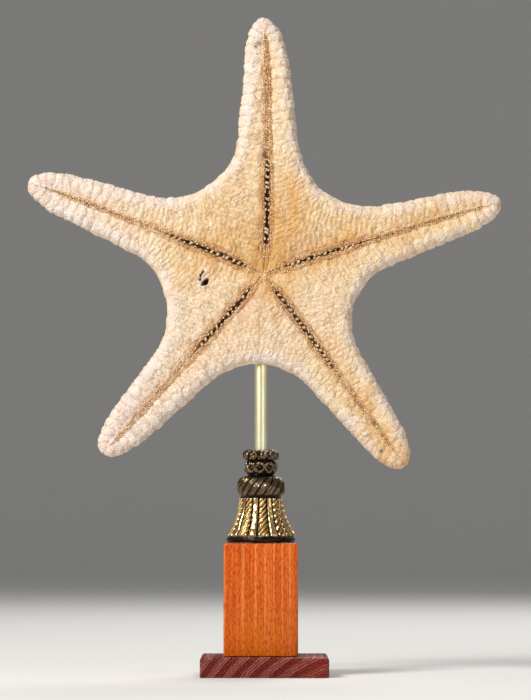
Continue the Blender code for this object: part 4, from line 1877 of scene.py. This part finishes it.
        pale += 0.25 * smooth_step(out, 60, 40) * smooth_step(z, 5, -20) * front
        pale *= 1 - 0.5 * smooth_step(x, 40, 62) * smooth_step(z, -74, -96)
        pale += 0.9 * smooth_step(at["bead"], 0.3, -0.5) * front
        pale += 0.9 * np.exp(-(((at["hole"] - 0.7) / 0.4) ** 2)) * front
        store(body, "pale", pale + 0.15 * at["knobs"])
        # Darker along the plates' joints and along the crease between two arms: partly the joints' own tint, partly
        # painted shade.
        crack_tint_and_shade = np.clip(1 - at["joint"] / 0.6, 0, 1) ** 1.5 * (1 - at["band"]) * at["calm"]
        arm_share = smooth_step(at["along"], 40, 75) * at["joints"]
        crease_shade = np.exp(-(((x + 1.9) / 0.35) ** 2)) * smooth_step(z, -20, -25)
        crease_shade *= smooth_step(z, -40, -33) * front * 0.45
        store(body, "joint_tint_and_shade", np.maximum(crack_tint_and_shade * np.where(at["margin"], 0.1 + 0.3 * arm_share, 0.34), crease_shade))
        dim = 0.35 * smooth_step(out, 60, 20) * smooth_step(z, -5, 15) * front
        store(body, "tone", 0.45 - dim + 0.1 * at["own"] * at["calm"] + 0.12 * ripple(space, 2.4, 54))
        outer = smooth_step(at["along"], 50, 70)
        between = 0.5 - 0.5 * np.cos((at["side"] - self.first_row) * 2 * math.pi / self.row_gap)
        grit = self.plan.of_arms(at["index"], lambda arm: arm.groove.grit)
        seam = self.plan.of_arms(at["index"], lambda arm: arm.groove.seam)
        rust_and_bank_shadow = smooth_step(at["side"], at["band_half"] + 0.2, at["band_half"] - 0.5)
        rust_and_bank_shadow *= 0.95 - outer * (0.95 - grit * (0.7 + 0.3 * between))
        # A patchy rusty brown line in the dip along each band's edge: painted shadow.
        bank_shadow_fringe = 0.8 * smooth_step(at["along"], 6, 12) * (1 - outer) * smooth_step(ripple(space, 2.2, 58), -0.4, 0.7)
        rust_and_bank_shadow = np.maximum(rust_and_bank_shadow, bank_shadow_fringe * np.exp(-(((at["side"] - at["band_half"] - 0.25) / 0.45) ** 2)))
        rust_and_bank_shadow *= at["ends"] * front * (0.85 + 0.3 * ripple(space, 2.5, 55)) * smooth_step(at["along"], 0.5, 4)
        rust_and_bank_shadow *= 0.45 + 0.55 * smooth_step(at["along"], 5, 14)
        scorch = self.scorch.distance(flat) + 0.5 * ripple(space, 1.8, 57)
        store(body, "rust_and_bank_shadow", np.maximum(rust_and_bank_shadow, 0.95 * smooth_step(scorch, 1.2, -0.8) * front))
        # Painted shade in the open gaps of the grooves.
        dark = 0.85 * smooth_step(at["side"], at["gap_half"] + 0.3, at["gap_half"] - 0.1) * at["opened"] * front
        line = smooth_step(at["side"], 0.6, 0.3) * smooth_step(at["along"], 1.5, 4)
        pits = smooth_step(ripple(space, 1.3, 59), -0.1, 0.9)
        # Painted shade along the line down the middle of each groove, between its rows of beads.
        dark = np.maximum(dark, (0.32 + (seam - 0.32) * outer) * (0.7 + 0.5 * pits) * line * at["ends"] * front)
        outer_band = smooth_step(at["side"], at["band_half"] + 0.1, at["band_half"] - 0.6) * outer * at["ends"] * front
        dark = np.maximum(dark, 0.6 * grit * pits * outer_band)
        dark = np.maximum(dark, 0.7 * smooth_step(scorch, 0.3, -1.2) * front)
        # Painted shade in the grooves and the punctures, together with the real scorch mark and dark grit specks.
        store(body, "furrow_shade_and_marks", np.maximum(dark, at["opening"]))
        mark = np.min([stain.distance(flat) for stain in self.stains], axis=0) + 0.3 * ripple(space, 1.2, 56)
        store(body, "stain", 0.75 * smooth_step(mark, 0.6, -0.6) * front)

    def _thin_out(self, body: bpy.types.Object) -> None:
        """Brings the number of faces under the limit, more on the back than on the front.

        Args:
            body: The body.
        """
        for toward, share in ((1, self.back_kept), (-1, self.front_kept)):
            flat = np.empty(len(body.data.polygons) * 3)
            body.data.polygons.foreach_get("normal", flat)
            chosen = flat.reshape(-1, 3)[:, 1] * toward > (0.25 if toward > 0 else -0.25)
            with editing(body):
                bpy.ops.object.mode_set(mode="OBJECT")
                body.data.polygons.foreach_set("select", chosen)
                bpy.ops.object.mode_set(mode="EDIT")
                bpy.ops.mesh.decimate(ratio=share)
        with editing(body, "VERT"):
            bpy.ops.mesh.select_non_manifold()
            bpy.ops.mesh.delete(type="VERT")
            bpy.ops.mesh.select_non_manifold()
            bpy.ops.mesh.fill_holes(sides=0)
            bpy.ops.mesh.select_all(action="SELECT")
            bpy.ops.mesh.quads_convert_to_tris()
        LOG.info("body thinned to %d triangles", len(body.data.polygons))

    def _peg(self) -> tuple[np.ndarray, np.ndarray]:
        """Models one blunt spine, one unit high and one unit in radius.

        Returns:
            Its vertices, and its faces as rows of three vertex numbers.
        """
        choose()
        bpy.ops.mesh.primitive_cylinder_add(vertices=6, radius=0.8, depth=0.7, location=(0, 0, 0.35))
        peg = bpy.context.object
        choose(peg)
        bpy.ops.object.transform_apply(location=True, rotation=True, scale=True)
        with editing(peg):
            pick(peg, lambda middle: middle.z > 0.69, "polygons")
            bpy.ops.transform.resize(value=(1.25, 1.25, 1), center_override=(0, 0, 0.7))
            bpy.ops.mesh.extrude_region_move(TRANSFORM_OT_translate={"value": (0, 0, 0.3)})
            bpy.ops.transform.resize(value=(0.55, 0.55, 1), center_override=(0, 0, 1.0))
            bpy.ops.mesh.select_all(action="SELECT")
            bpy.ops.mesh.quads_convert_to_tris()
        corners = points_of(peg)
        faces = np.array([list(face.vertices) for face in peg.data.polygons])
        bpy.data.objects.remove(peg, do_unlink=True)
        return corners, faces

    def _spine_places(self) -> Iterator["Spine"]:
        """Says where the spines stand.

        Yields:
            Each spine.
        """
        chance = np.random.default_rng(17)
        for index, arm in enumerate(self.plan.arms):
            yield from self._teeth(index, arm.groove, chance)
            for side in (-1, 1):
                yield from self._beads(index, side, chance)

    def _teeth(self, index: int, groove: Groove, chance: np.random.Generator) -> Iterator["Spine"]:
        """Sets teeth in pairs along the open part of a groove; many pairs meet over the gap, the others fall short.

        Args:
            index: The arm's number.
            groove: Its groove.
            chance: Where the unevenness comes from.

        Yields:
            Each spine of each tooth.
        """
        for along in np.arange(groove.opens - 3, groove.closes + 5, self.tooth_pitch):
            middle = along + chance.normal(0, 0.32)
            meet = chance.random() < groove.crossed
            for side in (-1, 1):
                reach = (groove.half + 0.55) * (chance.uniform(0.95, 1.25) if meet else chance.uniform(0.2, 0.7))
                for step in (-0.38, 0.0, 0.38):
                    at = middle + step * chance.uniform(0.8, 1.15) + 0.2 * side + chance.normal(0, 0.08)
                    share = float(self.opened(np.array(index), np.array(at)))
                    across = side * (0.5 + groove.half * share)
                    tall = 0.6 + reach * share * (1 - 0.6 * abs(step))
                    width = chance.uniform(0.26, 0.36)
                    yield Spine(index, at, across, width, tall, 1.7 * share, chance.uniform(0, 0.6))

    def _beads(self, index: int, side: int, chance: np.random.Generator) -> Iterator["Spine"]:
        """Sets short stubs in uneven rows over one bank of a groove, from the mouth to the tip.

        Args:
            index: The arm's number.
            side: Which bank, -1 or 1.
            chance: Where the unevenness comes from.

        Yields:
            Each stub.
        """
        arm = self.plan.arms[index]
        slope = math.tan(math.radians(self.plan.half_angle(index if side > 0 else index - 1)))
        for along in np.arange(1.4, arm.length - 9.5, self.bead_pitch):
            half = float(self.band_half(np.array(index), np.array(along)))
            share = float(self.opened(np.array(index), np.array(along)))
            start = self.first_row + 0.28 * (1 - share) * float(smooth_step(np.array(along), 50, 30))
            start += (arm.groove.half + 0.78) * share
            for row, across in enumerate(np.arange(start, min(half, along * slope - 0.2) + 0.15, self.row_gap)):
                at = along + (row % 2) * self.bead_pitch / 2 + chance.normal(0, 0.16)
                tall = chance.uniform(0.5, 0.85) * (1 - 0.3 * across / half)
                spread = side * (across + chance.normal(0, 0.13))
                tone = 0.25 * share + chance.uniform(0, 0.75 + (1.25 * arm.groove.grit - 0.4) * (1 - share))
                yield Spine(index, at, spread, chance.uniform(0.3, 0.5), tall, 0.15, tone)

    def _spines(self, body: bpy.types.Object) -> bpy.types.Object:
        """Plants the spines along both banks of every groove.

        Args:
            body: The finished body, on which they stand.

        Returns:
            All the spines as one piece.
        """
        tree = BVHTree.FromPolygons(
            [vertex.co for vertex in body.data.vertices], [face.vertices for face in body.data.polygons]
        )
        corners, faces = self._peg()
        all_corners, all_faces, heights, tones = [], [], [], []
        count = 0
        for spine in self._spine_places():
            x, z = self.plan.place(spine.arm, spine.along, spine.across)
            spot = np.array([[(x - self.plan.mouth.x) / MM, (z - self.plan.mouth.z) / MM]])
            if self.scorch.distance(spot)[0] < 0:
                continue
            hit, normal, _, _ = tree.ray_cast(Vector((x, self.ray_start, z)), Vector((0, 1, 0)))
            if hit is None:
                continue
            inwards = self.plan.arms[spine.arm].aside * (-spine.lean if spine.across > 0 else spine.lean)
            up = Vector((inwards[0], -1.0, inwards[1])) + normal * 0.3
            turn = up.to_track_quat("Z", "Y").to_matrix()
            size = np.array([spine.radius, spine.radius, spine.height]) * MM
            sunk = np.array(turn @ Vector((0, 0, -self.peg_sink * MM)))
            spot = (corners * size) @ np.array(turn).T + np.array(hit) + sunk
            all_corners.append(spot)
            all_faces.append(faces + count)
            count += len(corners)
            heights.append(corners[:, 2])
            tones.append(np.full(len(corners), spine.tone))
        mesh = bpy.data.meshes.new("groove_spines")
        mesh.from_pydata(np.concatenate(all_corners), [], np.concatenate(all_faces))
        spines = bpy.data.objects.new("groove_spines", mesh)
        bpy.context.scene.collection.objects.link(spines)
        # Each spine's height, by which its finish paints shade towards the foot.
        store(spines, "height", np.concatenate(heights))
        store(spines, "tone", np.concatenate(tones))
        choose(spines)
        bpy.ops.object.shade_smooth()
        return spines


# ---------------------------------------------------------------------------------------------------------------
# The studio
# ---------------------------------------------------------------------------------------------------------------


@dataclass
class Studio:
    """The paper sweep, the soft lights and the camera."""

    eye_height: float = 80 * MM
    distance: float = 1.9
    aside: float = 0.5 * MM
    tilt: float = 2.63
    lens: float = 189.7
    floor: float = 6.0
    wall: float = 3.2
    world: Colour = (0.80, 0.82, 0.85)
    world_strength: float = 0.27
    aim_height: float = 0.17

    def build_paper(self) -> None:
        """Lays the paper as a wide round floor that curves up all round, so that every side has the same ground."""
        choose()
        bpy.ops.mesh.primitive_circle_add(vertices=96, radius=self.floor, fill_type="NGON", location=(0, 0, 0))
        paper = bpy.context.object
        paper.name = "studio_paper"
        with editing(paper, "EDGE"):
            pick(paper, lambda middle: middle.length > 0.9 * self.floor)
            bpy.ops.mesh.extrude_edges_move(TRANSFORM_OT_translate={"value": (0, 0, self.wall)})
            pick(paper, lambda middle: middle.length > 0.9 * self.floor and abs(middle.z) < MM)
            bpy.ops.mesh.bevel(offset=0.8 * self.wall, segments=20, profile=0.5, affect="EDGES")
        settle(paper, 60)
        paper.data.materials.append(StudioPaper().material())
        paper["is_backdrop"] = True

    def _lamp(self, name: str, place: Colour, size: float, power: float, colour: Colour = (1, 1, 1)) -> None:
        """Adds a soft square lamp that faces the object.

        Args:
            name: The lamp's name.
            place: Where it stands, in metres.
            size: The length of its side.
            power: Its power in watts.
            colour: Its colour.
        """
        data = bpy.data.lights.new(name, "AREA")
        data.size = size
        data.energy = power
        data.color = colour
        lamp = bpy.data.objects.new(name, data)
        lamp.location = place
        aim = Vector((0, 0, self.aim_height)) - Vector(place)
        lamp.rotation_euler = aim.to_track_quat("-Z", "Y").to_euler()
        bpy.context.scene.collection.objects.link(lamp)

    def light(self) -> None:
        """Sets a large key lamp high on the left, a weaker one on the right and a dim sky."""
        self._lamp("key", (-0.95, -1.05, 1.2), 0.55, 33.5, (1.0, 0.985, 0.955))
        self._lamp("fill", (1.1, -1.2, 0.4), 0.9, 4.0, (0.95, 0.97, 1.0))
        self._lamp("back", (0.4, 1.1, 1.2), 0.8, 12.0)
        world = bpy.data.worlds.new("studio_air")
        world.use_nodes = True
        air = world.node_tree.nodes["Background"]
        air.inputs[0].default_value = (*self.world, 1.0)
        air.inputs[1].default_value = self.world_strength
        bpy.context.scene.world = world
        bpy.context.scene.view_settings.view_transform = "Standard"

    def place_camera(self) -> None:
        """Sets the camera low in front, looking slightly up with a long lens."""
        data = bpy.data.cameras.new("camera")
        data.lens = self.lens
        data.sensor_width = 36
        camera = bpy.data.objects.new("camera", data)
        camera.location = (self.aside, -self.distance, self.eye_height)
        camera.rotation_euler = (math.radians(90 + self.tilt), 0, 0)
        bpy.context.scene.collection.objects.link(camera)
        bpy.context.scene.camera = camera


def write_sizes() -> None:
    """Measures the solids' box and the visual model's box, and keeps neither.
    """
    boxes = {"cad": CAD_BOX, "visual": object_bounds()}
    {name: [list(corner) for corner in box] for name, box in boxes.items()}


def main() -> None:
    """Builds the stand from the foot up, then the starfish, then the studio."""
    logging.basicConfig(level=logging.INFO, format="%(name)s: %(message)s")
    timber = Timber()
    timber.build_plinth()
    timber.build_block()
    metalwork = Metalwork()
    metalwork.build_screws()
    CastTassel().build()
    metalwork.build_rod()
    Starfish().build()
    studio = Studio()
    studio.build_paper()
    studio.light()
    studio.place_camera()
    write_sizes()


if __name__ == "__main__":
    main()
